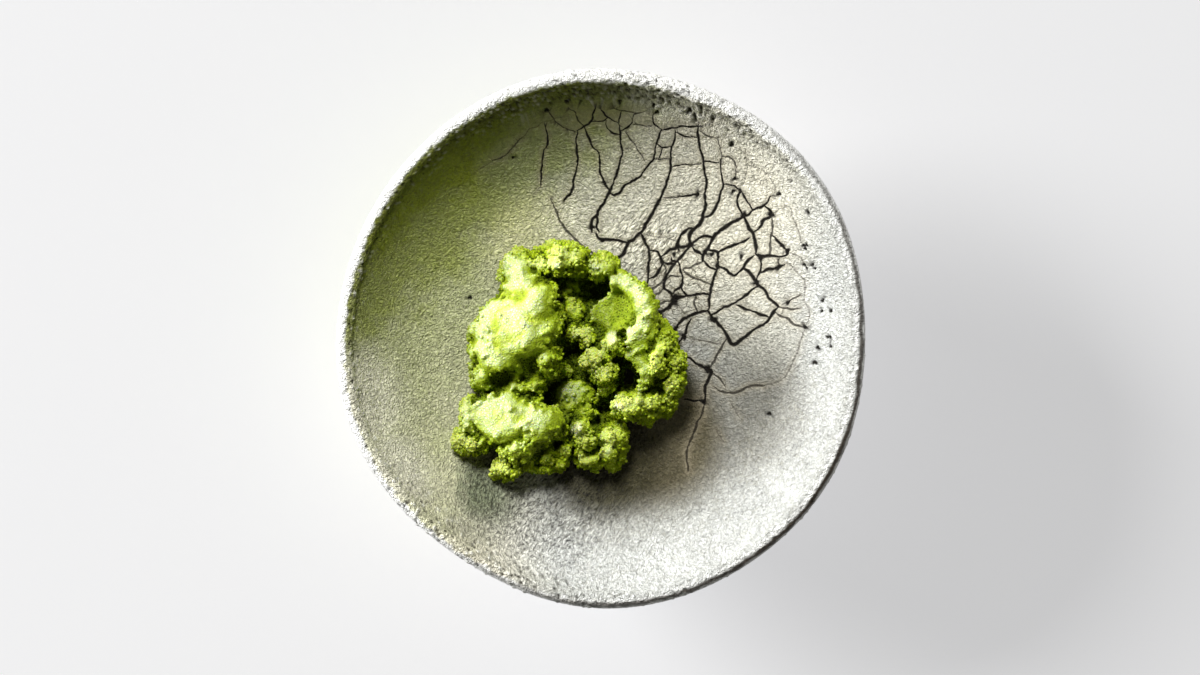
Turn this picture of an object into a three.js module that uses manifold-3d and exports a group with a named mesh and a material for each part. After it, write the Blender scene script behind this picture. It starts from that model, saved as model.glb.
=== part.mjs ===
// A small hand-thrown stoneware dish with a heap of freshly grated wasabi in it.
// Millimetres, +Z up. The dish stands on its foot ring at z = 0, with its outline centred on the Z axis.
// +X points to the heap's granular side and +Y to the top of the heap, seen from above.
// The dish is one piece of fired clay, and the heap is one piece of paste that could be lifted out.

import * as THREE from 'three';
import { mergeVertices } from 'three/addons/utils/BufferGeometryUtils.js';
import Module from 'manifold-3d';

const wasm = await Module();
wasm.setup();

// ---- Dish: driving dimensions ----

const RIM_RADIUS = 50; // mean radius at the lip's outer edge
const RIM_HEIGHT = 24; // top of the lip above the table
const LIP_THICKNESS = 3.2;
const FLOOR_HEIGHT = 7; // glaze at the middle of the dish
const WALL_CURVE = 4.2; // how late the floor turns up into the wall
const FOOT_OUTER = 22;
const FOOT_INNER = 17;
const FOOT_HEIGHT = 3;
const FOOT_RECESS = 2.4; // underside of the floor, inside the foot ring
const OUTER_CURVE = 1.8;
const AROUND = 72; // facets round the dish

// The rim was pulled a little out of round by hand: waves round it, height in mm and place of one crest.
const OUTLINE_WAVES = [
  { waves: 1, height: 0.7, crest: -1 },
  { waves: 2, height: 0.33, crest: 93.5 },
  { waves: 3, height: 0.39, crest: 58.8 },
  { waves: 4, height: 0.22, crest: 20 },
  { waves: 5, height: 0.21, crest: -27.4 },
  { waves: 6, height: 0.18, crest: -29.2 },
];
// The lip also rises and falls a little.
const LIP_WAVES = [
  { waves: 2, height: 0.3, crest: 40 },
  { waves: 3, height: 0.22, crest: -15 },
  { waves: 7, height: 0.1, crest: 10 },
];

// ---- Heap of wasabi: driving dimensions ----

const GAP = 0.3; // between the heap and the glaze
const HEAP_SEED = 7;
const HEAP_TALL = 1.25; // heights and upright half sizes of the heap's parts are multiplied by this
const LARGE_LOBE = 5.1; // half size from which a lobe gets finer facets
const SMOOTH_RELIEF = 0.03; // roughness of a lobe pressed smooth, as a share of its radius
const CRUMBLY_RELIEF = 0.11; // and of a crumbly one
const CRUMB_RADIUS = [1.1, 1.8];
const CRUMB_SPACING = 4.5;
const CRUMBS_PER_MM2 = 0.42; // tries, before those that lie buried or too close are left out
const CRUMB_RISE = [-0.1, 1]; // heights on a lobe where crumbs are tried, from its middle, 0, to its top, 1
const MOST_BURIED = 0.04; // how far into another lobe a crumb's middle may be, as a share of its radius
const HOLLOW_MARGIN = 0.1; // share of a hollow's radius round it that stays free of crumbs
const CRUMB_LIFT = 0.6; // least height of a crumb's middle above the glaze, as a share of its radius

// Lobes: x, y, height of the centre above the glaze under it, three half sizes, turn in degrees,
// and how crumbly the skin is, from 0 to 1.
const LOBES = {
  core: [
    [-6, -4, 1.5, 15, 17, 4.2, 0, 0.3],
    [7, -5, 1.5, 7.5, 10, 4, 0, 0.3],
  ],
  leftShoulder: [
    [-15, 1.5, 6, 8.2, 7.2, 7.5, 15, 0.1],
    [-12, 6, 6.2, 5, 4.5, 6.3, 0, 0.15],
    [-18, -3.5, 5, 6.5, 4.5, 6.5, -20, 0.15],
    [-21.3, 0.5, 4, 3.2, 3.2, 4.5, 0, 0.4],
    [-23.2, -2.2, 3.2, 1.8, 1.8, 2.5, 0, 0.4],
    [-21.4, -6.5, 3.5, 3, 3.4, 4.5, 0, 0.3],
    [-10, -3, 5.2, 3, 4.5, 6, 0, 0.5],
  ],
  lowerLeft: [
    [-17, -15.5, 5, 7.5, 5.5, 7, -15, 0.1],
    [-11.7, -15.5, 5, 4, 5, 7, 0, 0.3],
    [-22, -13.5, 3.4, 3.6, 5, 4.5, 20, 0.25],
    [-14, -19.5, 4.5, 4.5, 3.5, 5.5, 0, 0.4],
    [-23.8, -18.8, 2.5, 2.8, 2.8, 3.2, 0, 0.9],
    [-21.6, -20.4, 2, 2.4, 1.8, 2.6, 0, 1],
    [-25.4, -20.9, 1.3, 1.3, 1.3, 1.7, 0, 0.8],
    [-17, -24, 2.4, 3.4, 2.5, 3.2, 0, 0.9],
    [-9.5, -22, 2.6, 4.6, 4.2, 3.8, 0, 0.7],
    [-6.5, -18.5, 3.2, 3, 3.5, 4.2, 0, 0.7],
  ],
  crown: [
    [-14.3, 11.5, 3.8, 2.9, 4.3, 5.2, 0, 0.3],
    [-11.3, 13.6, 4, 2.5, 2.6, 4.5, 0, 0.9],
    [-8.3, 14, 4.8, 3, 2.7, 5.2, 0, 0.9],
    [-6.2, 15.3, 4.2, 3.2, 1.9, 4, 0, 0.8],
    [-4, 14.2, 4.4, 2.4, 2.8, 4.8, 0, 0.8],
    [0.6, 13.4, 3.8, 2.8, 2.2, 4.6, 0, 0.7],
    [-2.5, 12, 3.4, 2.3, 1.8, 3.5, 0, 0.8],
    [2.7, 12.2, 2.6, 1.2, 1.5, 2.8, 0, 0.8],
  ],
  valley: [
    [-8, 10.5, 3, 3.4, 3, 4.2, 0, 1],
    [-6.5, 6.5, 2.8, 3.2, 3.5, 4.3, 0, 1],
    [-6, 2.2, 2.6, 3.4, 3.5, 3.8, 0, 1],
    [-7, -5.5, 2.4, 3, 2.8, 3.6, 0, 0.9],
  ],
  scoopedLobe: [
    [2.2, 4.2, 3.2, 4.2, 4.7, 5.4, 0, 0.3],
    [7.6, 4.3, 3.4, 2.3, 4.8, 5.2, 0, 0.3],
    [5.2, 8.2, 3.6, 3.6, 2.4, 5, -20, 0.6],
  ],
  rightCluster: [
    [10.8, -1.6, 4.4, 3, 3.5, 5.2, 0, 0.9],
    [12.8, -4.6, 3.6, 2.6, 3.2, 4.6, 0, 0.9],
    [12.2, -8.4, 3.8, 3.2, 3.2, 4.8, 0, 1],
    [10, -5, 4.8, 2.4, 3, 5.4, 0, 0.8],
    [14, -8.8, 2.6, 1.8, 2.6, 3.2, 0, 0.9],
  ],
  middleKnobs: [
    [2.2, -0.6, 5.8, 2.8, 1.9, 4.4, 0, 0.5],
    [-0.8, -4.2, 4.8, 2.9, 2.3, 4.6, 0, 0.9],
    [0.6, -6.8, 4, 2.3, 2.2, 4.2, 0, 0.9],
    [2.5, -3.2, 4.8, 1.9, 1.8, 4, 0, 0.9],
    [-5, -11.8, 3, 3.7, 4.2, 4.4, 0, 0.3],
  ],
  lowerRight: [
    [6.2, -12.8, 3.2, 3.5, 2.6, 4.6, 0, 0.6],
    [9.6, -12.6, 3, 3.3, 2.8, 4.2, 0, 0.9],
    [12.4, -12, 2.4, 2.4, 2.5, 3.4, 0, 1],
    [8, -14.7, 1.8, 3, 1.7, 2.6, 0, 0.6],
  ],
  bottomKnobs: [
    [-3, -19, 3, 3.2, 2.8, 4.2, 0, 0.9],
    [-1.5, -22, 2.2, 3.2, 2.1, 3.2, 0, 1],
    [2.2, -19, 2.8, 1.5, 2.1, 3.8, 0, 0.8],
    [2.6, -21.6, 2.8, 1.3, 1.6, 3.6, 0, 0.3],
    [2.6, -23.7, 1.1, 1.8, 0.9, 1.5, 0, 1],
    [-4.2, -16.8, 3.6, 1.2, 1.4, 4.2, 0, 0.3],
  ],
};

// The folded-over edge, a roll of paste along a curve: x, y, height above the glaze.
const FOLD_PATH = [
  [0.3, 8.5, 5.8],
  [2.6, 9.3, 6.8],
  [5, 8.9, 7.8],
  [6.9, 7.4, 8.4],
  [8, 5, 8.7],
  [8.1, 2.2, 8.5],
  [7.4, -0.6, 7.8],
  [7.4, -3.2, 7.4],
  [8.3, -5.6, 7.4],
  [9.2, -7.6, 6.8],
];
const FOLD_RADIUS = 1.9;
const FOLD_STEPS = 14;
const FOLD_SIDES = 8;
const FOLD_CRUMBLY = 0.5;

// Hollows: x, y, height of the centre above the glaze, three half sizes, turn in degrees.
const HOLLOWS = [
  [-18.4, -7.9, 8.2, 4, 1.9, 3.6, 18],
  [2.3, 5.3, 10.6, 3.3, 3.6, 3.6, 0],
  [-2.1, 7.2, 6, 1.4, 3.1, 4.4, 0],
  [0.4, 10.6, 6, 2.1, 1.1, 4.4, 0],
  [5.1, -7.3, 5.5, 2.9, 3.1, 4.4, 0],
  [1.2, -13.6, 5, 2.2, 2.3, 4, 0],
  [-10.6, -10.6, 5.5, 1.4, 2.7, 4.2, 0],
  [-5.6, -3, 6.5, 3.8, 1.1, 4, 18],
];

// ---- Dish ----

const UP = new THREE.Vector3(0, 0, 1);
const radians = THREE.MathUtils.degToRad;
const innerRadius = RIM_RADIUS - LIP_THICKNESS;
const lipCentreHeight = RIM_HEIGHT - LIP_THICKNESS / 2;

function waveSum(waves, angle) {
  return waves.reduce((sum, w) => sum + w.height * Math.cos(w.waves * (angle - radians(w.crest))), 0);
}

function glazeHeight(radius) {
  return FLOOR_HEIGHT + (lipCentreHeight - FLOOR_HEIGHT) * (radius / innerRadius) ** WALL_CURVE;
}

function undersideHeight(radius) {
  const share = (radius - FOOT_OUTER) / (RIM_RADIUS - FOOT_OUTER);
  return FOOT_HEIGHT + (lipCentreHeight - FOOT_HEIGHT) * share ** OUTER_CURVE;
}

// Turns a profile of [radius, height] pairs round the Z axis, then pulls it out of round as the rim is.
function thrown(profile) {
  const points = profile.map(([radius, height]) => new THREE.Vector2(radius, height));
  const geometry = new THREE.LatheGeometry(points, AROUND).rotateX(Math.PI / 2);
  const position = geometry.getAttribute('position');
  const p = new THREE.Vector3();
  for (let i = 0; i < position.count; i++) {
    p.fromBufferAttribute(position, i);
    const radius = Math.hypot(p.x, p.y);
    const angle = Math.atan2(p.y, p.x);
    const pull = THREE.MathUtils.smoothstep(radius, FOOT_OUTER, RIM_RADIUS);
    const scale = 1 + (pull * waveSum(OUTLINE_WAVES, angle)) / RIM_RADIUS;
    position.setXYZ(i, p.x * scale, p.y * scale, p.z + pull * waveSum(LIP_WAVES, angle));
  }
  return geometry;
}

const INNER_STEPS = [0, 8, 16, 22, 27, 32, 36, 40, 43.5, innerRadius];
const OUTER_STEPS = [FOOT_OUTER, 26, 30, 35, 40, 45, RIM_RADIUS];

// The inside of the glaze from the middle out to the lip, raised by lift.
function glazeProfile(lift) {
  return INNER_STEPS.map((radius) => [radius, glazeHeight(radius) + lift]);
}

function lipProfile() {
  const steps = 6;
  const half = LIP_THICKNESS / 2;
  return Array.from({ length: steps - 1 }, (_, i) => {
    const turn = Math.PI * (1 - (i + 1) / steps);
    return [RIM_RADIUS - half + half * Math.cos(turn), lipCentreHeight + half * Math.sin(turn)];
  });
}

function dishGeometry() {
  const chamfer = 0.6;
  const foot = [
    [FOOT_OUTER, chamfer],
    [FOOT_OUTER - chamfer, 0],
    [FOOT_INNER + chamfer, 0],
    [FOOT_INNER, chamfer],
    [FOOT_INNER, FOOT_RECESS - chamfer],
    [FOOT_INNER - chamfer, FOOT_RECESS],
    [0, FOOT_RECESS],
  ];
  const outside = OUTER_STEPS.map((radius) => [radius, undersideHeight(radius)]).reverse();
  return thrown([...glazeProfile(0), ...lipProfile(), ...outside, ...foot].reverse());
}

// ---- Heap of wasabi ----

function seededRandom(seed) {
  let state = seed;
  return () => {
    state = (state + 0x6d2b79f5) | 0;
    let t = Math.imul(state ^ (state >>> 15), 1 | state);
    t = (t + Math.imul(t ^ (t >>> 7), 61 | t)) ^ t;
    return ((t ^ (t >>> 14)) >>> 0) / 4294967296;
  };
}

// A row of LOBES or HOLLOWS as a placed ellipsoid.
function placed([x, y, height, rx, ry, rz, turn, crumbly = 0]) {
  const centre = new THREE.Vector3(x, y, glazeHeight(Math.hypot(x, y)) + height * HEAP_TALL);
  return { centre, half: new THREE.Vector3(rx, ry, rz * HEAP_TALL), turn: radians(turn), crumbly };
}

const foldPath = new THREE.CatmullRomCurve3(
  FOLD_PATH.map(([x, y, height]) => new THREE.Vector3(x, y, glazeHeight(Math.hypot(x, y)) + height * HEAP_TALL)),
);

// The fold as a row of balls, which closes its ends and says where its crumbs stand.
function foldBalls() {
  const half = new THREE.Vector3(FOLD_RADIUS, FOLD_RADIUS, FOLD_RADIUS);
  return foldPath.getPoints(FOLD_STEPS).map((centre) => ({ centre, half, turn: 0, crumbly: FOLD_CRUMBLY }));
}

// How far inside the ellipsoid a point is: 1 at the middle, 0 on the skin, negative outside.
function depthIn(lobe, point) {
  const p = point.clone().sub(lobe.centre).applyAxisAngle(UP, -lobe.turn);
  return 1 - p.divide(lobe.half).length();
}

function solidFrom(geometry) {
  const bare = geometry.clone();
  bare.deleteAttribute('normal');
  bare.deleteAttribute('uv');
  const merged = mergeVertices(bare, 1e-4);
  return new wasm.Manifold(new wasm.Mesh({
    numProp: 3,
    vertProperties: new Float32Array(merged.getAttribute('position').array),
    triVerts: new Uint32Array(merged.index.array),
  }));
}

function geometryFrom(solid) {
  const mesh = solid.getMesh();
  const geometry = new THREE.BufferGeometry();
  geometry.setAttribute('position', new THREE.BufferAttribute(mesh.vertProperties, 3));
  geometry.setIndex(new THREE.BufferAttribute(mesh.triVerts, 1));
  geometry.computeVertexNormals();
  return geometry;
}

// An ellipsoid whose skin is roughened by waves, most on a crumbly one.
function lobeSolid(lobe, detail) {
  const geometry = new THREE.IcosahedronGeometry(1, detail);
  const relief = THREE.MathUtils.lerp(SMOOTH_RELIEF, CRUMBLY_RELIEF, lobe.crumbly);
  const position = geometry.getAttribute('position');
  const p = new THREE.Vector3();
  for (let i = 0; i < position.count; i++) {
    p.fromBufferAttribute(position, i);
    const phase = lobe.centre.x * 1.7 + lobe.centre.y * 2.3;
    const crossing = Math.sin(7 * p.x + phase) * Math.sin(6 * p.y - phase);
    const slanting = Math.sin(8 * p.z + 5 * p.x - phase);
    p.multiplyScalar(1 + relief * (crossing + 0.6 * slanting));
    position.setXYZ(i, p.x, p.y, p.z);
  }
  geometry.scale(lobe.half.x, lobe.half.y, lobe.half.z);
  geometry.rotateZ(lobe.turn);
  geometry.translate(lobe.centre.x, lobe.centre.y, lobe.centre.z);
  return solidFrom(geometry);
}

function foldSolid() {
  const section = new THREE.Shape().absarc(0, 0, FOLD_RADIUS, 0, 2 * Math.PI);
  const roll = new THREE.ExtrudeGeometry(section, {
    steps: FOLD_STEPS,
    curveSegments: FOLD_SIDES,
    extrudePath: foldPath,
  });
  const balls = foldBalls();
  return solidFrom(roll).add(lobeSolid(balls[0], 1)).add(lobeSolid(balls.at(-1), 1));
}

// A crumb is a blunt grain of twenty faces.
function crumbSolid(crumb) {
  const geometry = new THREE.IcosahedronGeometry(crumb.radius, 0);
  geometry.rotateX(crumb.turn * 0.4);
  geometry.rotateZ(crumb.turn);
  geometry.translate(crumb.centre.x, crumb.centre.y, crumb.centre.z);
  return solidFrom(geometry);
}

// Crumbs stand out of the lobes' skins, most on the crumbly ones, and never where they would be buried.
function crumbs(lobes, hollows, random) {
  const found = [];
  for (const lobe of lobes) {
    const { x, y, z } = lobe.half;
    const area = (4 * Math.PI * (x * y + x * z + y * z)) / 3;
    const tries = Math.round(area * CRUMBS_PER_MM2 * lobe.crumbly);
    for (let i = 0; i < tries; i++) {
      const turn = random() * Math.PI * 2;
      const rise = THREE.MathUtils.lerp(...CRUMB_RISE, random());
      const flat = Math.sqrt(1 - rise * rise);
      const radius = THREE.MathUtils.lerp(...CRUMB_RADIUS, random());
      const centre = new THREE.Vector3(flat * Math.cos(turn), flat * Math.sin(turn), rise)
        .multiply(lobe.half)
        .applyAxisAngle(UP, lobe.turn)
        .add(lobe.centre);
      const buried = lobes.some((other) => other !== lobe && depthIn(other, centre) > MOST_BURIED);
      const hollowed = hollows.some((hollow) => depthIn(hollow, centre) > -HOLLOW_MARGIN);
      const crowded = found.some((other) => other.centre.distanceTo(centre) < CRUMB_SPACING);
      const low = centre.z < glazeHeight(Math.hypot(centre.x, centre.y)) + radius * CRUMB_LIFT;
      if (!buried && !hollowed && !crowded && !low) {
        found.push({ centre, radius, turn });
      }
    }
  }
  return found;
}

// The room above the glaze, to well over the heap: what lies outside it is cut off the heap.
function roomSolid() {
  const top = 2 * RIM_HEIGHT;
  return solidFrom(thrown([...glazeProfile(GAP), [innerRadius, top], [0, top]]));
}

function heapGeometry() {
  const lobes = Object.values(LOBES).flat().map(placed);
  const hollows = HOLLOWS.map(placed);
  const random = seededRandom(HEAP_SEED);
  let heap = lobeSolid(lobes[0], 2);
  for (const lobe of lobes.slice(1)) {
    const large = Math.max(lobe.half.x, lobe.half.y) > LARGE_LOBE;
    heap = heap.add(lobeSolid(lobe, large ? 2 : 1));
  }
  heap = heap.add(foldSolid());
  for (const hollow of hollows) {
    heap = heap.subtract(lobeSolid(hollow, 1));
  }
  for (const crumb of crumbs([...lobes, ...foldBalls()], hollows, random)) {
    heap = heap.add(crumbSolid(crumb));
  }
  const pieces = heap.intersect(roomSolid()).decompose();
  const whole = pieces.reduce((a, b) => (b.volume() > a.volume() ? b : a)); // loose scraps are dropped
  return geometryFrom(whole);
}

// ---- The two pieces ----

const glazedClay = new THREE.MeshStandardMaterial({ color: 0xd9d8cc, roughness: 0.55, metalness: 0 });
const gratedPaste = new THREE.MeshStandardMaterial({ color: 0xa9c04a, roughness: 0.7, metalness: 0 });

const dish = new THREE.Mesh(dishGeometry(), glazedClay);
dish.name = 'dish';
const wasabi = new THREE.Mesh(heapGeometry(), gratedPaste);
wasabi.name = 'wasabi';

// The whole is moved sideways so that the dish's outline is centred on the Z axis.
dish.geometry.computeBoundingBox();
const middle = dish.geometry.boundingBox.getCenter(new THREE.Vector3());
const part = new THREE.Group();
part.add(dish, wasabi);
part.position.set(-middle.x, -middle.y, 0);

export default part;
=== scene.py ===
# The looks of a small crackle-glazed stoneware dish with a heap of grated wasabi in it.
# Shapes are worked out in millimetres about the middle that the dish was thrown on, then moved and
# scaled to metres when they are put into meshes.

import bpy
import numpy as np
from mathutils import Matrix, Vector
from mathutils.geometry import delaunay_2d_cdt


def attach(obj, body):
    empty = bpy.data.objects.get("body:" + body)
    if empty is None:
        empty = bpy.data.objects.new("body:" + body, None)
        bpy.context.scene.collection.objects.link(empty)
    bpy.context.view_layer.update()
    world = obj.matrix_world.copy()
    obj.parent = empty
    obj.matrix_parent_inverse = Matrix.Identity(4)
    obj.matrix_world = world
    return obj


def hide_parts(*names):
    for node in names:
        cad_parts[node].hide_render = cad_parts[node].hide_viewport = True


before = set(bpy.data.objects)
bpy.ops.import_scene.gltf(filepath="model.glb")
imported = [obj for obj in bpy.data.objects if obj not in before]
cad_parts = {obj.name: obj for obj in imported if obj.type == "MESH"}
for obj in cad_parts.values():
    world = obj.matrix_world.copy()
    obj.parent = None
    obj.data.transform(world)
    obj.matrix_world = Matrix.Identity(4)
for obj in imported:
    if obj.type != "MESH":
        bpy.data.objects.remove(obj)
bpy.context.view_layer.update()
mm = 0.001


# What a user would change on the dish. Lengths in mm, angles in degrees.
dish = {
    "rimRadius": 50.0,        # mean radius at the lip's outer edge
    "rimHeight": 24.0,
    "lipThickness": 3.2,
    "floorHeight": 7.0,       # glaze at the middle
    "wallCurve": 4.2,         # how late the floor turns up into the wall
    "footOuter": 22.0,
    "footInner": 17.0,
    "footHeight": 3.0,
    "footRecess": 2.4,
    "footChamfer": 0.6,
    "outerCurve": 1.8,
    # waves round the rim: how many, height and place of one crest
    "outlineWaves": [(1, 0.7, -1), (2, 0.33, 93.5), (3, 0.39, 58.8), (4, 0.22, 20), (5, 0.21, -27.4),
                     (6, 0.18, -29.2)],
    "lipWaves": [(2, 0.3, 40), (3, 0.22, -15), (7, 0.1, 10)],
    "around": 900,            # points round the wall, lip and outside
    "joinRadius": 44.3,       # the crackled floor ends here and the wall's rings begin
    "floorSpacing": 0.62,     # between the floor's points
    "detailSpacing": 0.085,   # the least between its points along cracks and round spots
    # rows along a crack, in half widths from its middle, and rings round a spot, in half widths
    "crackRows": (-1.7, -0.95, -0.4, 0.4, 0.95, 1.7),
    "spotRings": (0.35, 0.8, 1.35),
    "grooveDepth": 0.5,       # share of a crack's half width
    "poolDepth": 0.1,
    "holeDepth": 0.28,
    "gritHeight": 0.3,
    "gritSize": 0.85,
    "fineGritSize": 0.55,
    # directions, in degrees, that the rim's grit and tints are told apart by
    "sides": {"top": 85, "crest": 74, "upLeft": 150, "left": 190, "lowLeft": 232, "lowRight": 322,
              "right": 335},
    "seed": 11,
}

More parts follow.
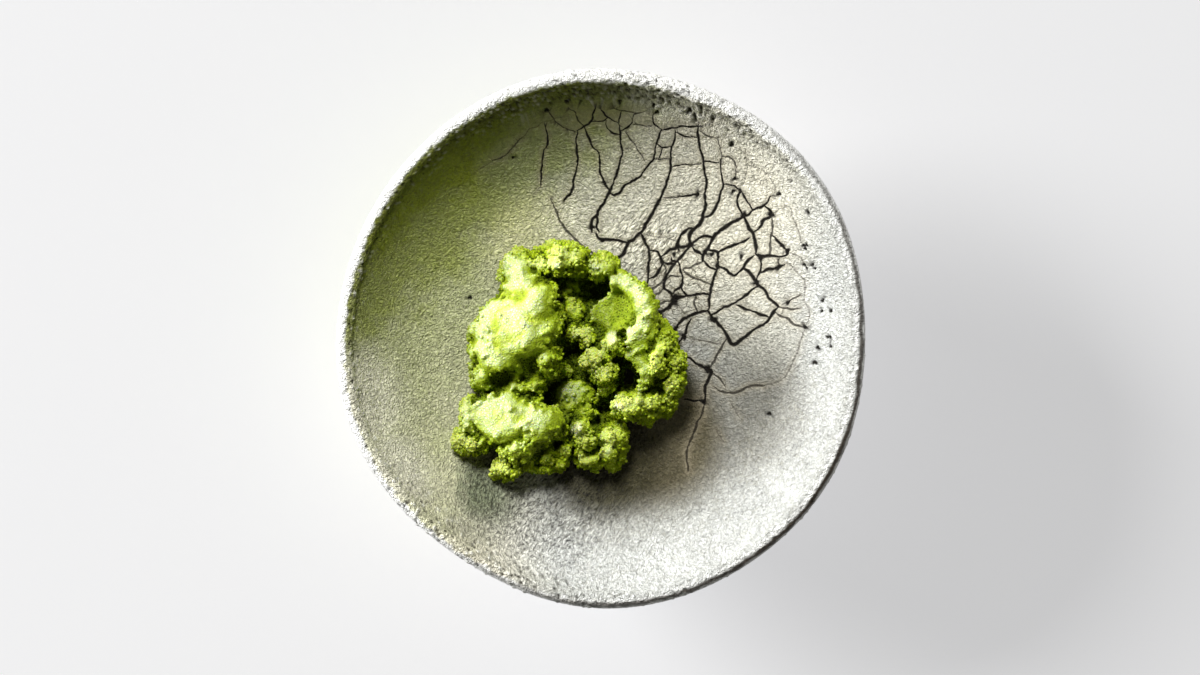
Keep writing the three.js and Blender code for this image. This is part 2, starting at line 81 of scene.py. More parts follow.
# The wide crackle: half width in mm, how dark it is stained, and the points that each crack passes through.
crackWidth = {"wide": (0.26, 1.0), "medium": (0.21, 1.0), "fine": (0.16, 0.85), "faint": (0.12, 0.45)}
cracks = {
    "wide": [
        [(-4.3, 38.9), (-4.5, 37), (-4.3, 33.8), (-4.8, 30.6), (-5.3, 28), (-6.8, 25.9)],
        [(-3.1, 39.7), (-2.1, 38), (-1.4, 36.3), (-0.3, 34.7), (0, 32.4), (0.6, 29.9), (1.85, 28)],
        [(3.5, 40.4), (3.8, 38.8), (3.9, 36.8), (4.2, 34.9), (3.4, 32.2), (3, 30.2), (1.85, 28),
         (0.8, 25.6), (-0.7, 23.4), (-1.5, 21.8), (-1.4, 20.1)],
        [(1.9, 27.6), (2.6, 27), (3.6, 27.5), (4.8, 29), (7.4, 30.5), (8.6, 32), (10.2, 33.8),
         (10.6, 36.6), (11.6, 39.2)],
        [(14.4, 38.8), (13.6, 35.6), (13.3, 33.4), (13.4, 32.2), (12.8, 30.2), (11.6, 26.9),
         (10.3, 24.1), (8.8, 21.8), (7.7, 20), (5.4, 17.9), (4.2, 15.9), (3.2, 15.3), (2.3, 14.3)],
        [(18.4, 40), (18.4, 38), (18.9, 35.6), (19.5, 33.6), (20, 30.2), (20.1, 28.6), (19.7, 27.2),
         (19.9, 25), (19.6, 23), (19, 21.6), (17.5, 20.3), (17.1, 18.8), (17.2, 17.6)],
        [(27.1, 22.8), (25.2, 21.9), (22.8, 20.3), (21.5, 18.8), (20.4, 16.8), (19.6, 15.8),
         (19.4, 14.5)],
        [(17.2, 17.4), (18.4, 16.5), (19.5, 15.4)],
        [(17.5, 20.8), (16.6, 20.5), (15.2, 19.1), (14.6, 17.8), (14.9, 16.6)],
        [(10.9, 4.4), (12, 5.1), (13, 5.8), (14, 6.7), (14.8, 7.4), (16.4, 8)],
        [(20.6, 5.2), (21.2, 3.8), (22.3, 2.8), (23.5, 1.5), (24.2, 0.2), (25.2, -1.3), (27, -0.2),
         (29.4, 1.7), (31.6, 3), (32.6, 4.4), (33.9, 5.8)],
        [(27.2, 13.3), (28.3, 12.2), (29.4, 11), (29.9, 10), (31.1, 9), (32, 7.6), (33.9, 5.8)],
        [(27.1, 22.9), (28, 21.2), (29, 19.4), (29.4, 17.4), (29.5, 16.1)],
    ],
    "medium": [
        [(-10.5, 40.2), (-9.85, 38.4), (-9.9, 37), (-10.8, 34.6), (-11.1, 31.4), (-11.2, 28.6)],
        [(-4.3, 38.9), (-3.1, 39.7), (-1.8, 40.7), (-1.4, 42), (-0.8, 43.3)],
        [(-1.8, 40.7), (-0.2, 40.7), (1.4, 41.4)],
        [(1.1, 41), (1.3, 39.9), (2.2, 38.7), (3.8, 38.4)],
        [(3.8, 39), (5, 39.6), (6.2, 40.5)],
        [(3.5, 40.6), (4, 42.5)],
        [(0.1, 43.1), (1.7, 41.5), (3.5, 40.6)],
        [(-0.8, 23.2), (-0.5, 22.2), (-0.6, 21.2), (-0.15, 20.2)],
        [(-0.9, 19.8), (-0.4, 19), (0.5, 18.6), (2.6, 18.6), (4.6, 18.2), (5.4, 17.9)],
        [(11.6, 39.2), (10.3, 40.4), (10, 42)],
        [(11.6, 39.2), (13.2, 39.5), (15.4, 39.7), (18.8, 39.8), (20.6, 40)],
        [(10.6, 36.6), (11.9, 35.9), (13.7, 36)],
        [(11.9, 35.9), (11.2, 33.9)],
        [(10.2, 33.8), (13.2, 33.8)],
        [(14.4, 38.7), (16.4, 38), (18.2, 37.6)],
        [(13.5, 32.4), (15.6, 32.7), (17.4, 32.7)],
        [(19.6, 33.4), (22.7, 33)],
        [(22.8, 33.6), (22.7, 32.2), (23.3, 30.2), (23.3, 29.2), (22.5, 26.2), (21.3, 23.6),
         (19.9, 22.9)],
        [(14.8, 26.7), (17, 26.9), (18.8, 27.2)],
        [(23.4, 29.1), (25, 28.9), (26.5, 27.8)],
        [(26.5, 27.8), (26.1, 25.4), (27.1, 23.2)],
        [(26.6, 27.7), (27.8, 25.8), (28.9, 24.1)],
        [(27.2, 23.2), (28.2, 23.2), (28.9, 24), (30.9, 25.1), (32.2, 26.6)],
        [(30.9, 25.1), (32.3, 23.3), (31, 22.1), (30.3, 20.9), (29.2, 20)],
        [(7.7, 19.8), (8.6, 18), (9.4, 16.6), (9.2, 13.2), (9.1, 10.8), (9.3, 8.8), (9.9, 7.2),
         (10.8, 4.8)],
        [(9.5, 16.5), (11, 16.2), (11.9, 14.4), (11.4, 12.9), (10, 11.6), (9.2, 11.3)],
        [(11.7, 15.6), (13.2, 16.6), (15.6, 17.1), (17, 17.6)],
        [(17.2, 17.6), (18.6, 18.7), (20.2, 19.4), (21.5, 18.9)],
        [(16.9, 17.2), (15.8, 15.7), (14.6, 14.4), (13.2, 12.6), (12.5, 11.4), (12.2, 9.4), (13.6, 8.3),
         (14.2, 7.4)],
        [(14.6, 14.5), (13.7, 14.6), (13.5, 15.2)],
        [(11.9, 14), (14.3, 14.2)],
        [(14.9, 14.3), (15.5, 12.7), (15.8, 10.8), (15.4, 9.5), (14.4, 9.2), (13.9, 8.3)],
        [(15.6, 9.5), (16.3, 8.1), (18.4, 8.3), (20.8, 8.2)],
        [(22.4, 13.4), (21.6, 11), (20.9, 8.6), (20.6, 5.2)],
        [(19.5, 14.6), (20.8, 13.4), (22.2, 12.9)],
        [(22.4, 13.6), (23.9, 12.9), (25.5, 11.9), (26.9, 13.1), (28, 14.5), (29.3, 15.5)],
        [(22.5, 13.8), (22.4, 15.4), (22.2, 16.2), (20.4, 16.5)],
        [(22.2, 16.3), (24.6, 17.3), (26.6, 17.9), (28.3, 18.7)],
        [(29.5, 16), (30.4, 15.3), (32.4, 15.4), (34.4, 15.2), (35.5, 16.2), (34.4, 17.4), (32.5, 19.2)],
        [(30.5, 15), (30.4, 12.8), (29.7, 11.2)],
        [(30.6, 12.5), (32, 12.9), (33.6, 13.2), (34.9, 13.8)],
        [(29.9, 9.8), (28.2, 8.5), (25.6, 6.7), (23, 5.3), (21.2, 4.2)],
        [(20.6, 5.1), (18.8, 4.7), (16, 3.5), (14.8, 2.4), (14.2, 1.2), (12.6, 0.8)],
        [(17.3, 3.6), (16.7, 2), (16, 0.3), (15, -0.8)],
        [(25.8, 6.2), (27.6, 5.3), (29.8, 4.7), (31.8, 3.9)],
        [(16.2, -3.4), (18.6, -5), (20.2, -5.9), (20.9, -6), (21.2, -6.8), (20.2, -9.2), (20.1, -11),
         (19.7, -12.4)],
        [(16.2, -11.6), (17.6, -11.9), (19.6, -11.9)],
    ],
    "fine": [
        [(-20.4, 33.5), (-18.9, 33.9), (-17.2, 35.1), (-15.9, 36.7), (-14.8, 37.8)],
        [(19.7, -12.4), (19.4, -14.6), (18.1, -17.2), (17.1, -20), (16.5, -22.2), (16.6, -25.2)],
        [(24.2, -0.1), (23.1, -1.8), (22.3, -3.6), (20.9, -5.8)],
        [(-9.4, 26.3), (-7.6, 22.4), (-6.2, 20.2), (-4.2, 18.1), (-2.2, 16.7), (-0.7, 15.5)],
        [(-3.1, 39.9), (-4.4, 41.2), (-4.9, 42.5), (-5.8, 43.1)],
        [(-4.5, 38.9), (-6.6, 39.6), (-8.2, 40.6), (-9.6, 42.2)],
        [(6.2, 40.6), (6.4, 42), (8, 42.4)],
        [(6.2, 40.2), (9.6, 39.8)],
        [(5, 38.6), (6.7, 36.3), (8.6, 33.4)],
        [(18.5, 39.1), (20.1, 37.9), (21.9, 37.4), (22.9, 35), (22.8, 33.6)],
        [(17.4, 32.7), (19.4, 32.9)],
        [(12.2, 26.5), (14.8, 26.7)],
        [(22.9, 34.3), (25.2, 33.6), (25.6, 31.6), (25.5, 30)],
        [(32.4, 23), (32.6, 21), (32.4, 19.2), (32.1, 15.4)],
        [(19.5, 14.6), (17.6, 13.6), (15.6, 12.9)],
        [(33.6, 13.4), (34, 15.1)],
        [(34, 5.7), (35.2, 5.4), (37.6, 5.6)],
        [(33.2, 4.7), (35.8, 3.3), (37.2, 2.3), (38.6, 1.9)],
        [(35.6, 6.7), (36.6, 7.4), (37.8, 7.9)],
        [(21.2, -6.8), (22.6, -7.8), (23.7, -9.4)],
        [(21.8, -9.5), (23.2, -10.2), (25.6, -10.4), (28.6, -9.3), (31.2, -9.1)],
        [(12, 9.1), (11.2, 8.4), (10.4, 8.1), (9.6, 8.2)],
        [(10.4, 8.1), (10.9, 6.6), (12.6, 6.9), (13.9, 6.7)],
        [(12.4, 11.2), (13.8, 11.6), (15.6, 11.4)],
        [(11.8, 14.5), (12.6, 13.2), (12.4, 11.2), (11.2, 10.1), (9.3, 8.8)],
        [(15.8, 12.9), (17.4, 11.4), (18.9, 10.9), (20.9, 10.2)],
        [(18.4, 8.3), (17.9, 6.4), (18.6, 4.7)],
        [(2.6, 43.1), (4.4, 42.6), (6.2, 42.2)],
    ],
    "faint": [
        [(-7.2, 41.6), (-10.4, 40.6), (-13.2, 39.2), (-14.6, 37.9), (-15.8, 36.7), (-17.2, 35.2),
         (-18.9, 33.9), (-21.1, 32.9), (-23.4, 31.6)],
        [(34.9, 13.8), (35.8, 13.8), (37.6, 12), (38.7, 10.5), (38.6, 7.2), (39.6, 4.6), (38.7, 2),
         (38.3, 0.2), (37.1, -3), (35.9, -6.2), (34, -8.2), (31.2, -9.1)],
        [(32.5, 23.3), (35.2, 24.7), (36.3, 22.7), (37.3, 20), (38.1, 17.4)],
        [(27.4, 30), (29.6, 29.8), (31.6, 29.5)],
        [(26.7, 28.2), (27.4, 30), (27.7, 32.4), (27.3, 34.6), (25, 35.8)],
        [(27.6, 32.4), (29.6, 32), (31.4, 30.8), (33, 28), (32.2, 26.6)],
        [(35.5, 16), (36.4, 15.7), (37.8, 15.1), (38.3, 13.8)],
        [(4.5, 35.4), (6.7, 36.2)],
        [(8.4, 19.5), (10.2, 19.2), (12.6, 18.9), (14.4, 18.2)],
        [(17, -0.2), (20.4, -0.6), (22.8, -1.2)],
        [(24.7, -12.4), (25.9, -14.2), (26.6, -15.2)],
        [(22, -17.6), (23.4, -19.8)],
        [(15.2, 5.8), (16.2, 4.3)],
        [(-11.2, 28.6), (-12.6, 27)],
    ],
}

# Pools of stain where cracks meet or end, and single pinholes: x, y and half width.
stainSpots = [
    (-1.55, 21, 0.4), (0.5, 18.5, 0.4), (17.1, 17.6, 0.5), (14.8, 17.3, 0.4), (14.1, 15.8, 0.35),
    (11.8, 14.5, 0.4), (12.4, 11.2, 0.4), (9.3, 8.8, 0.6), (14.2, 7.2, 0.75), (11, 4.4, 0.75),
    (22.3, 13.6, 0.45), (21.2, 15.8, 0.35), (20, 16.2, 0.35), (21.6, 3.4, 0.55), (14.2, 1.3, 0.55),
    (16, 0.2, 0.45), (20.4, -6, 0.55), (19.7, -12.2, 0.45), (27.2, 23.2, 0.45), (26.5, 27.7, 0.35),
    (32.3, 23.3, 0.45), (34.4, 17.4, 0.35), (35.4, 16.3, 0.4), (30.4, 15.2, 0.5), (33.6, 13.2, 0.45),
    (18.5, 27.1, 0.35), (0.8, 29.5, 0.3), (29.7, 10.4, 0.4), (25.2, 27.7, 0.35), (25.4, 30, 0.3),
    (35.5, 6.6, 0.35), (26.8, 15.4, 0.35), (38.7, 2, 0.35),
]
pinholes = [
    (33.6, 26.9, 0.42), (38.9, 23.4, 0.42), (38.3, 17.3, 0.36), (38.9, 17.4, 0.3), (38.6, 16.7, 0.32),
    (38.4, 13.7, 0.36), (39.9, 13.7, 0.36), (38.9, 13.1, 0.25), (40.4, 13, 0.28), (41.8, 7, 0.38),
    (41.7, 5, 0.28), (43.3, 5, 0.32), (42.7, 0.1, 0.3), (43.2, 0.1, 0.3), (43.3, -1.6, 0.3),
    (41, -1.9, 0.42), (40.4, -4.7, 0.46), (32, -14.4, 0.42), (-24.7, 7.6, 0.42), (24.7, 36.3, 0.5),
    (16.7, 42.4, 0.5), (17.8, 41.8, 0.35), (17.9, 41, 0.3), (10.1, 43.5, 0.4), (41, 28, 0.32),
    (42.2, 26.6, 0.32), (43.2, 23.6, 0.3), (44.9, 21.3, 0.3), (34.6, 35.4, 0.32), (-18.9, 42.8, 0.45),
    (10.7, 42.3, 0.38), (-10, 42.6, 0.4), (-6.1, 44.3, 0.5), (3.7, 44.2, 0.4), (35.7, 29.2, 0.3),
    (-16.4, 34, 0.25),
]


def smoothstep(value, low, high):
    # 0 below low, 1 above high, and 3t^2 - 2t^3 between them
    t = np.clip((value - low) / (high - low), 0, 1)
    return t * t * (3 - 2 * t)


def waveSum(waves, angle):
    # the sum of height times the cosine of waves times the angle from the crest
    return sum(height * np.cos(count * (angle - np.radians(crest))) for count, height, crest in waves)


def hashed(i, j, k, salt):
    # a number from 0 to 1 that is always the same for a whole-numbered cell
    h = (i.astype(np.uint32) * np.uint32(73856093)) ^ (j.astype(np.uint32) * np.uint32(19349663))
    h ^= (k.astype(np.uint32) * np.uint32(83492791)) ^ np.uint32(salt * 2654435761 & 0xFFFFFFFF)
    h = (h ^ (h >> np.uint32(15))) * np.uint32(2246822519)
    h = (h ^ (h >> np.uint32(13))) * np.uint32(3266489917)
    return ((h ^ (h >> np.uint32(16))) & np.uint32(0xFFFFFF)).astype(np.float32) / np.float32(0x1000000)


def cellDistance(points, size, salt):
    # distance to the nearest of the points scattered one in each cell, over the cell's size,
    # and that point's own random number
    scaled = (points / size).astype(np.float32)
    base = np.floor(scaled).astype(np.int32)
    nearest = np.full(len(points), 9, np.float32)
    owner = np.zeros(len(points), np.float32)
    for di in (-1, 0, 1):
        for dj in (-1, 0, 1):
            for dk in (-1, 0, 1):
                cell = base + np.array([di, dj, dk], np.int32)
                i, j, k = cell.T
                offset = np.stack([hashed(i, j, k, salt + n) for n in (1, 2, 3)], 1)
                away = ((cell + offset - scaled) ** 2).sum(1)
                closer = away < nearest
                nearest = np.where(closer, away, nearest)
                owner = np.where(closer, hashed(i, j, k, salt + 4), owner)
    return np.sqrt(nearest), owner


def softNoise(points, size, salt):
    # random numbers from -1 to 1 on the corners of cells, blended smoothly between them
    scaled = points / size
    base = np.floor(scaled)
    t = scaled - base
    t = t * t * (3 - 2 * t)
    base = base.astype(np.int32)
    total = np.zeros(len(points))
    for di in (0, 1):
        for dj in (0, 1):
            for dk in (0, 1):
                share = ((t[:, 0] if di else 1 - t[:, 0]) * (t[:, 1] if dj else 1 - t[:, 1])
                         * (t[:, 2] if dk else 1 - t[:, 2]))
                total += share * hashed(base[:, 0] + di, base[:, 1] + dj, base[:, 2] + dk, salt)
    return total * 2 - 1


innerRadius = dish["rimRadius"] - dish["lipThickness"]
lipCentre = dish["rimHeight"] - dish["lipThickness"] / 2


def glazeHeight(radius):
    # floor height plus the wall's rise times the share of the inner radius to the power of its curve
    rise = lipCentre - dish["floorHeight"]
    return dish["floorHeight"] + rise * (radius / innerRadius) ** dish["wallCurve"]


def undersideHeight(radius):
    # foot height plus the rise to the lip times the share of the way out to the power of its curve
    share = np.clip((radius - dish["footOuter"]) / (dish["rimRadius"] - dish["footOuter"]), 0, 1)
    return dish["footHeight"] + (lipCentre - dish["footHeight"]) * share ** dish["outerCurve"]


def pullAt(radius):
    # how much of the rim's unevenness reaches a radius: none at the foot, all of it at the lip
    return smoothstep(radius, dish["footOuter"], dish["rimRadius"])


def pulled(radius, angle, height):
    # a point of the thrown profile, moved out of round as the rim is
    scale = 1 + pullAt(radius) * waveSum(dish["outlineWaves"], angle) / dish["rimRadius"]
    lift = pullAt(radius) * waveSum(dish["lipWaves"], angle)
    return np.stack([radius * scale * np.cos(angle), radius * scale * np.sin(angle), height + lift], -1)


def thrownRadius(x, y):
    # the radius that a point had before the rim was pulled out of round, found in three steps
    reach = np.hypot(x, y)
    angle = np.arctan2(y, x)
    radius = reach
    for _ in range(3):
        radius = reach / (1 + pullAt(radius) * waveSum(dish["outlineWaves"], angle) / dish["rimRadius"])
    return radius


def glazeOver(x, y):
    # height of the smooth glaze over a place on the plan
    radius = thrownRadius(x, y)
    return glazeHeight(radius) + pullAt(radius) * waveSum(dish["lipWaves"], np.arctan2(y, x))


outlineAngles = np.linspace(0, 2 * np.pi, 72, endpoint=False)
outline = pulled(np.full(72, dish["rimRadius"]), outlineAngles, 0)[:, :2]
middle = np.array([*(outline.max(0) + outline.min(0)) / 2, 0])  # taken off every point, as in the solids


def meshFromArrays(name, points, faces, shadeSmooth=True):
    # points in mm about the thrown middle; faces is a whole array of triangles or quads
    mesh = bpy.data.meshes.new(name)
    corners = faces.shape[1]
    mesh.vertices.add(len(points))
    mesh.vertices.foreach_set("co", ((points - middle) * mm).astype(np.float32).ravel())
    mesh.loops.add(faces.size)
    mesh.loops.foreach_set("vertex_index", faces.astype(np.int32).ravel())
    mesh.polygons.add(len(faces))
    mesh.polygons.foreach_set("loop_start", np.arange(0, faces.size, corners, dtype=np.int32))
    mesh.polygons.foreach_set("use_smooth", np.full(len(faces), shadeSmooth))
    mesh.update(calc_edges=True)
    mesh.validate()
    piece = bpy.data.objects.new(name, mesh)
    bpy.context.scene.collection.objects.link(piece)
    return piece


def addAttribute(piece, name, values):
    attribute = piece.data.attributes.new(name, "FLOAT", "POINT")
    attribute.data.foreach_set("value", np.asarray(values, np.float32))


def smoothLine(points, spacing):
    # a Catmull-Rom curve through the points, cut into even steps
    p = np.array(points, float)
    p = np.vstack([2 * p[0] - p[1], p, 2 * p[-1] - p[-2]])
    t = np.linspace(0, 1, 9)[:-1, None]
    parts = [0.5 * (2 * b + (c - a) * t + (2 * a - 5 * b + 4 * c - d) * t ** 2
                    + (3 * b - a - 3 * c + d) * t ** 3)
             for a, b, c, d in zip(p[:-3], p[1:-2], p[2:-1], p[3:])]
    line = np.vstack(parts + [p[-2]])
    along = np.concatenate([[0], np.cumsum(np.hypot(*np.diff(line, axis=0).T))])
    steps = np.linspace(0, along[-1], max(3, int(along[-1] / spacing)))
    return np.stack([np.interp(steps, along, line[:, 0]), np.interp(steps, along, line[:, 1])], 1)


def crackLines():
    # every crack as a smooth line with its half width at each point, wandering a little and tapering at
    # its ends
    lines = []
    count = 0
    for kind, group in cracks.items():
        halfWidth, dark = crackWidth[kind]
        for points in group:
            count += 1
            line = smoothLine(points, 0.24)
            along = np.concatenate([[0], np.cumsum(np.hypot(*np.diff(line, axis=0).T))])
            heading = np.gradient(line, axis=0)
            heading /= np.hypot(*heading.T)[:, None]
            side = np.stack([-heading[:, 1], heading[:, 0]], 1)
            seat = np.stack([along, np.full_like(along, count * 7.3), np.zeros_like(along)], 1)
            line = line + side * (0.17 * softNoise(seat, 1.3, 5) + 0.09 * softNoise(seat, 0.5, 6))[:, None]
            ends = np.minimum(along, along[-1] - along)
            width = halfWidth * (0.55 + 0.45 * np.clip(ends / 1.2, 0, 1))
            width = width * (1 + 0.4 * softNoise(seat, 0.9, 8))
            width = width * (1 - 0.38 * smoothstep(line[:, 1], 21, 33))
            lines.append((line, side, width, dark))
    return lines


def stainAt(points, lines):
    # how dark each place on the plan is stained, how deep its groove is and how much soaked in beside
    # it, from the nearest crack: full within the crack's half width, falling to 0 at a multiple of that
    stain, groove, halo = np.zeros((3, len(points)))
    for line, _, width, dark in lines:
        low = line.min(0) - 1.8
        high = line.max(0) + 1.8
        near = np.flatnonzero(((points > low) & (points < high)).all(1))
        if not len(near):
            continue
        start, step = line[:-1], np.diff(line, axis=0)
        length2 = (step ** 2).sum(1)
        to = points[near][:, None, :] - start[None]
        share = np.clip((to * step).sum(2) / length2, 0, 1)
        away = np.hypot(*np.moveaxis(to - share[..., None] * step, 2, 0))
        reach = away / (width[:-1] + share * np.diff(width))
        best = reach.argmin(1)
        least = reach[np.arange(len(near)), best]
        gap = away.min(1)
        stain[near] = np.maximum(stain[near], dark * (1 - smoothstep(least, 0.85, 1.65)))
        groove[near] = np.maximum(groove[near], (1 - smoothstep(least, 0, 1.5)) * width.mean())
        halo[near] = np.maximum(halo[near], dark * np.exp(-(gap / 0.8) ** 2))
    return stain, groove, halo


def spotAt(points, spots):
    # 1 within a spot and 0 outside it, each spot a little uneven
    value = np.zeros(len(points))
    for x, y, radius in spots:
        near = np.flatnonzero((np.abs(points[:, 0] - x) < 2) & (np.abs(points[:, 1] - y) < 2))
        d = points[near] - (x, y)
        angle = np.arctan2(d[:, 1], d[:, 0])
        uneven = radius * (1 + 0.22 * np.sin(2 * angle + x * 3) + 0.15 * np.sin(3 * angle - y * 2))
        value[near] = np.maximum(value[near], 1 - smoothstep(np.hypot(*d.T) / uneven, 0.8, 1.35))
    return value


def thinned(points, spacing):
    # keeps one point of those that fall in the same small square
    key = np.round(points / spacing).astype(np.int64)
    _, first = np.unique(key[:, 0] * 100003 + key[:, 1], return_index=True)
    return points[np.sort(first)]


def crackledFloor(lines, join):
    # rows of points along the cracks, rings round the spots and a jittered grid between them, made one net
    # of triangles inside the join ring, whose points come first
    rng = np.random.default_rng(dish["seed"])
    rows = [line + side * (width * share)[:, None]
            for line, side, width, _ in lines for share in dish["crackRows"]]
    turns = np.linspace(0, 2 * np.pi, 12, endpoint=False)
    ring = np.stack([np.cos(turns), np.sin(turns)], 1)
    rings = [np.array([x, y]) + ring * radius * share
             for x, y, radius in stainSpots + pinholes for share in dish["spotRings"]]
    detail = thinned(np.vstack(rows + rings), dish["detailSpacing"])
    n = int(dish["joinRadius"] / dish["floorSpacing"]) + 2
    gridX, gridY = np.meshgrid(np.arange(-n, n + 1), np.arange(-n, n + 1))
    grid = np.stack([gridX + 0.5 * (gridY % 2), gridY * 0.87], -1).reshape(-1, 2) * dish["floorSpacing"]
    grid += rng.uniform(-0.12, 0.12, grid.shape) * dish["floorSpacing"]

    # the grid gives way in every small square beside the detail
    square, half = 0.3, 200
    taken = np.zeros((2 * half + 1, 2 * half + 1), bool)
    taken[tuple((np.round(detail / square).astype(int) + half).T)] = True
    taken |= np.roll(taken, 1, 0) | np.roll(taken, -1, 0) | np.roll(taken, 1, 1) | np.roll(taken, -1, 1)
    at = np.clip(np.round(grid / square).astype(int), 1 - half, half - 1) + half
    inside = np.vstack([detail, grid[~taken[tuple(at.T)]]])
    inside = inside[thrownRadius(*inside.T) < dish["joinRadius"] - 0.35]
    given = [Vector(p) for p in np.vstack([join, inside]).tolist()]
    plan, _, faces, sources, _, _ = delaunay_2d_cdt(given, [], [], 0, 1e-5)
    order = np.argsort([source[0] for source in sources])
    rank = np.empty(len(order), int)
    rank[order] = np.arange(len(order))
    plan = np.array([tuple(p) for p in plan])[order]
    faces = rank[np.array([face for face in faces if len(face) == 3])]
    along, across = plan[faces[:, 1]] - plan[faces[:, 0]], plan[faces[:, 2]] - plan[faces[:, 0]]
    turned = along[:, 0] * across[:, 1] < along[:, 1] * across[:, 0]
    faces[turned] = faces[turned][:, ::-1]
    return np.column_stack([plan, glazeOver(*plan.T)]), faces


def turnedProfile():
    # radius and height of each ring: up the wall, over the lip, down the outside and under the foot
    half = dish["lipThickness"] / 2
    outer, inner, recess = dish["footOuter"], dish["footInner"], dish["footRecess"]
    chamfer = dish["footChamfer"]
    wall = np.linspace(dish["joinRadius"], innerRadius, 9)[1:]
    turn = np.linspace(np.pi, 0, 22)[1:-1]
    outside = np.concatenate([dish["rimRadius"] - np.linspace(0, 5, 12), np.linspace(44, outer, 13)[1:]])
    foot = np.array([
        (outer, 1.8), (outer, chamfer), (outer - 0.2, 0.2), (outer - chamfer, 0), (inner + chamfer, 0),
        (inner + 0.2, 0.2), (inner, chamfer), (inner, recess - chamfer), (inner - 0.2, recess - 0.15),
        (inner - chamfer, recess), (11, recess), (5, recess), (1.5, recess)])
    radii = np.concatenate([wall, dish["rimRadius"] - half + half * np.cos(turn), outside, foot[:, 0]])
    heights = np.concatenate([glazeHeight(wall), lipCentre + half * np.sin(turn), undersideHeight(outside),
                              foot[:, 1]])
    return radii, heights


def dishSkin(lines):
    # the floor's net, the rings of the profile and a point in the middle of the foot, as one closed skin
    around = dish["around"]
    angle = np.linspace(0, 2 * np.pi, around, endpoint=False)
    join = pulled(np.full(around, dish["joinRadius"]), angle, 0)[:, :2]
    floorPoints, floorFaces = crackledFloor(lines, join)
    radii, heights = turnedProfile()
    rings = pulled(radii[:, None], angle[None, :], heights[:, None])
    points = np.vstack([floorPoints, rings.reshape(-1, 3), [[0, 0, dish["footRecess"]]]])

    # quads between neighbouring rings, the first of them on the join ring
    count = len(floorPoints)
    numbers = count + np.arange(len(radii) * around).reshape(len(radii), around)
    index = np.vstack([np.arange(around)[None], numbers])
    a, b = index[:-1], index[1:]
    quads = np.stack([a, b, np.roll(b, -1, 1), np.roll(a, -1, 1)], -1).reshape(-1, 4)
    cap = np.stack([index[-1], np.full(around, len(points) - 1), np.roll(index[-1], -1)], -1)
    triangles = np.vstack([floorFaces, quads[:, [0, 1, 2]], quads[:, [0, 2, 3]], cap])
    return points, triangles, np.arange(len(points)) < count


def outwardAt(points, triangles):
    # the outward direction at every point, from the faces round it
    corner = points[triangles]
    across = np.cross(corner[:, 1] - corner[:, 0], corner[:, 2] - corner[:, 0])
    normal = np.zeros_like(points)
    for n in range(3):
        np.add.at(normal, triangles[:, n], across)
    return normal / np.linalg.norm(normal, axis=1)[:, None]


def gritAt(points, radius, topside, toward):
    # masks from 0 to 1 for the rim, and how far the glaze is raised there: a ragged band of grit inside the
    # lip's crest, wider towards the top and the lower left, with beads and pits strewn on it and round it;
    # the band's dark tone and the white outer lip are also painted shade and painted light at the lip
    top, upLeft, lowLeft = toward["top"], toward["upLeft"], toward["lowLeft"]
    crest, left = toward["crest"], toward["left"]
    inner = 47 - 2.4 * top ** 6 - 0.6 * upLeft ** 3 - 0.9 * lowLeft ** 4 + 0.5 * softNoise(points, 3, 31)
    outer = (47.9 - 0.7 * top ** 6 + 0.9 * lowLeft ** 3 + 0.4 * softNoise(points, 1.1, 32)
             + 0.3 * softNoise(points, 0.6, 36))
    plainSide = smoothstep(toward["right"], 0.15, 0.55)  # the lip is clean there
    band = smoothstep(radius - inner, -0.9, 0.8) * (1 - smoothstep(radius - outer, -0.3, 0.3))
    band = band * topside * (1 - 0.9 * plainSide)
    lip = smoothstep(radius - outer, -0.2, 0.5) * (points[:, 2] > 17)
    near, own = cellDistance(points, dish["gritSize"], 41)
    fineNear, _ = cellDistance(points, dish["fineGritSize"], 51)
    ragged = 0.3 * lowLeft ** 2 + 0.4 * toward["lowRight"] ** 4
    beside = smoothstep(radius, 42.5, 45.5) * topside * (0.2 + 0.8 * top ** 6 + 0.55 * lowLeft ** 4)
    bead = np.clip(1.1 - (near / 0.5) ** 2, 0, 1) * (own > 0.8 - 0.3 * crest ** 4)
    pit = np.clip(1.1 - (near / 0.48) ** 2, 0, 1) * (own < 0.12 + 0.1 * lowLeft ** 2 + 0.12 * crest ** 4)
    gritAndShade = band * np.clip(0.65 + 0.3 * softNoise(points, 2, 33) + 0.45 * softNoise(points, 0.8, 37), 0, 1)
    gritAndShade = gritAndShade * (1 - 0.8 * lowLeft) * (1 - 0.8 * crest ** 4)
    gritAndShade = gritAndShade * (1 - 0.7 * left ** 4) * (1 - 0.4 * upLeft ** 4)
    strewn = np.clip(band + beside + lip * ragged, 0, 1)
    lift = dish["gritHeight"] * (strewn * (bead - 1.2 * pit) + 0.7 * band * (0.5 - fineNear) - 0.35 * band)
    finePit = 0.9 * smoothstep(fineNear, 0.5, 0.85) * band * (1 - 0.85 * lowLeft)
    masks = {"gritAndShade": gritAndShade, "bead": bead * strewn, "pit": pit * strewn + finePit, "lip": lip * (1 - band)}
    return masks, lift


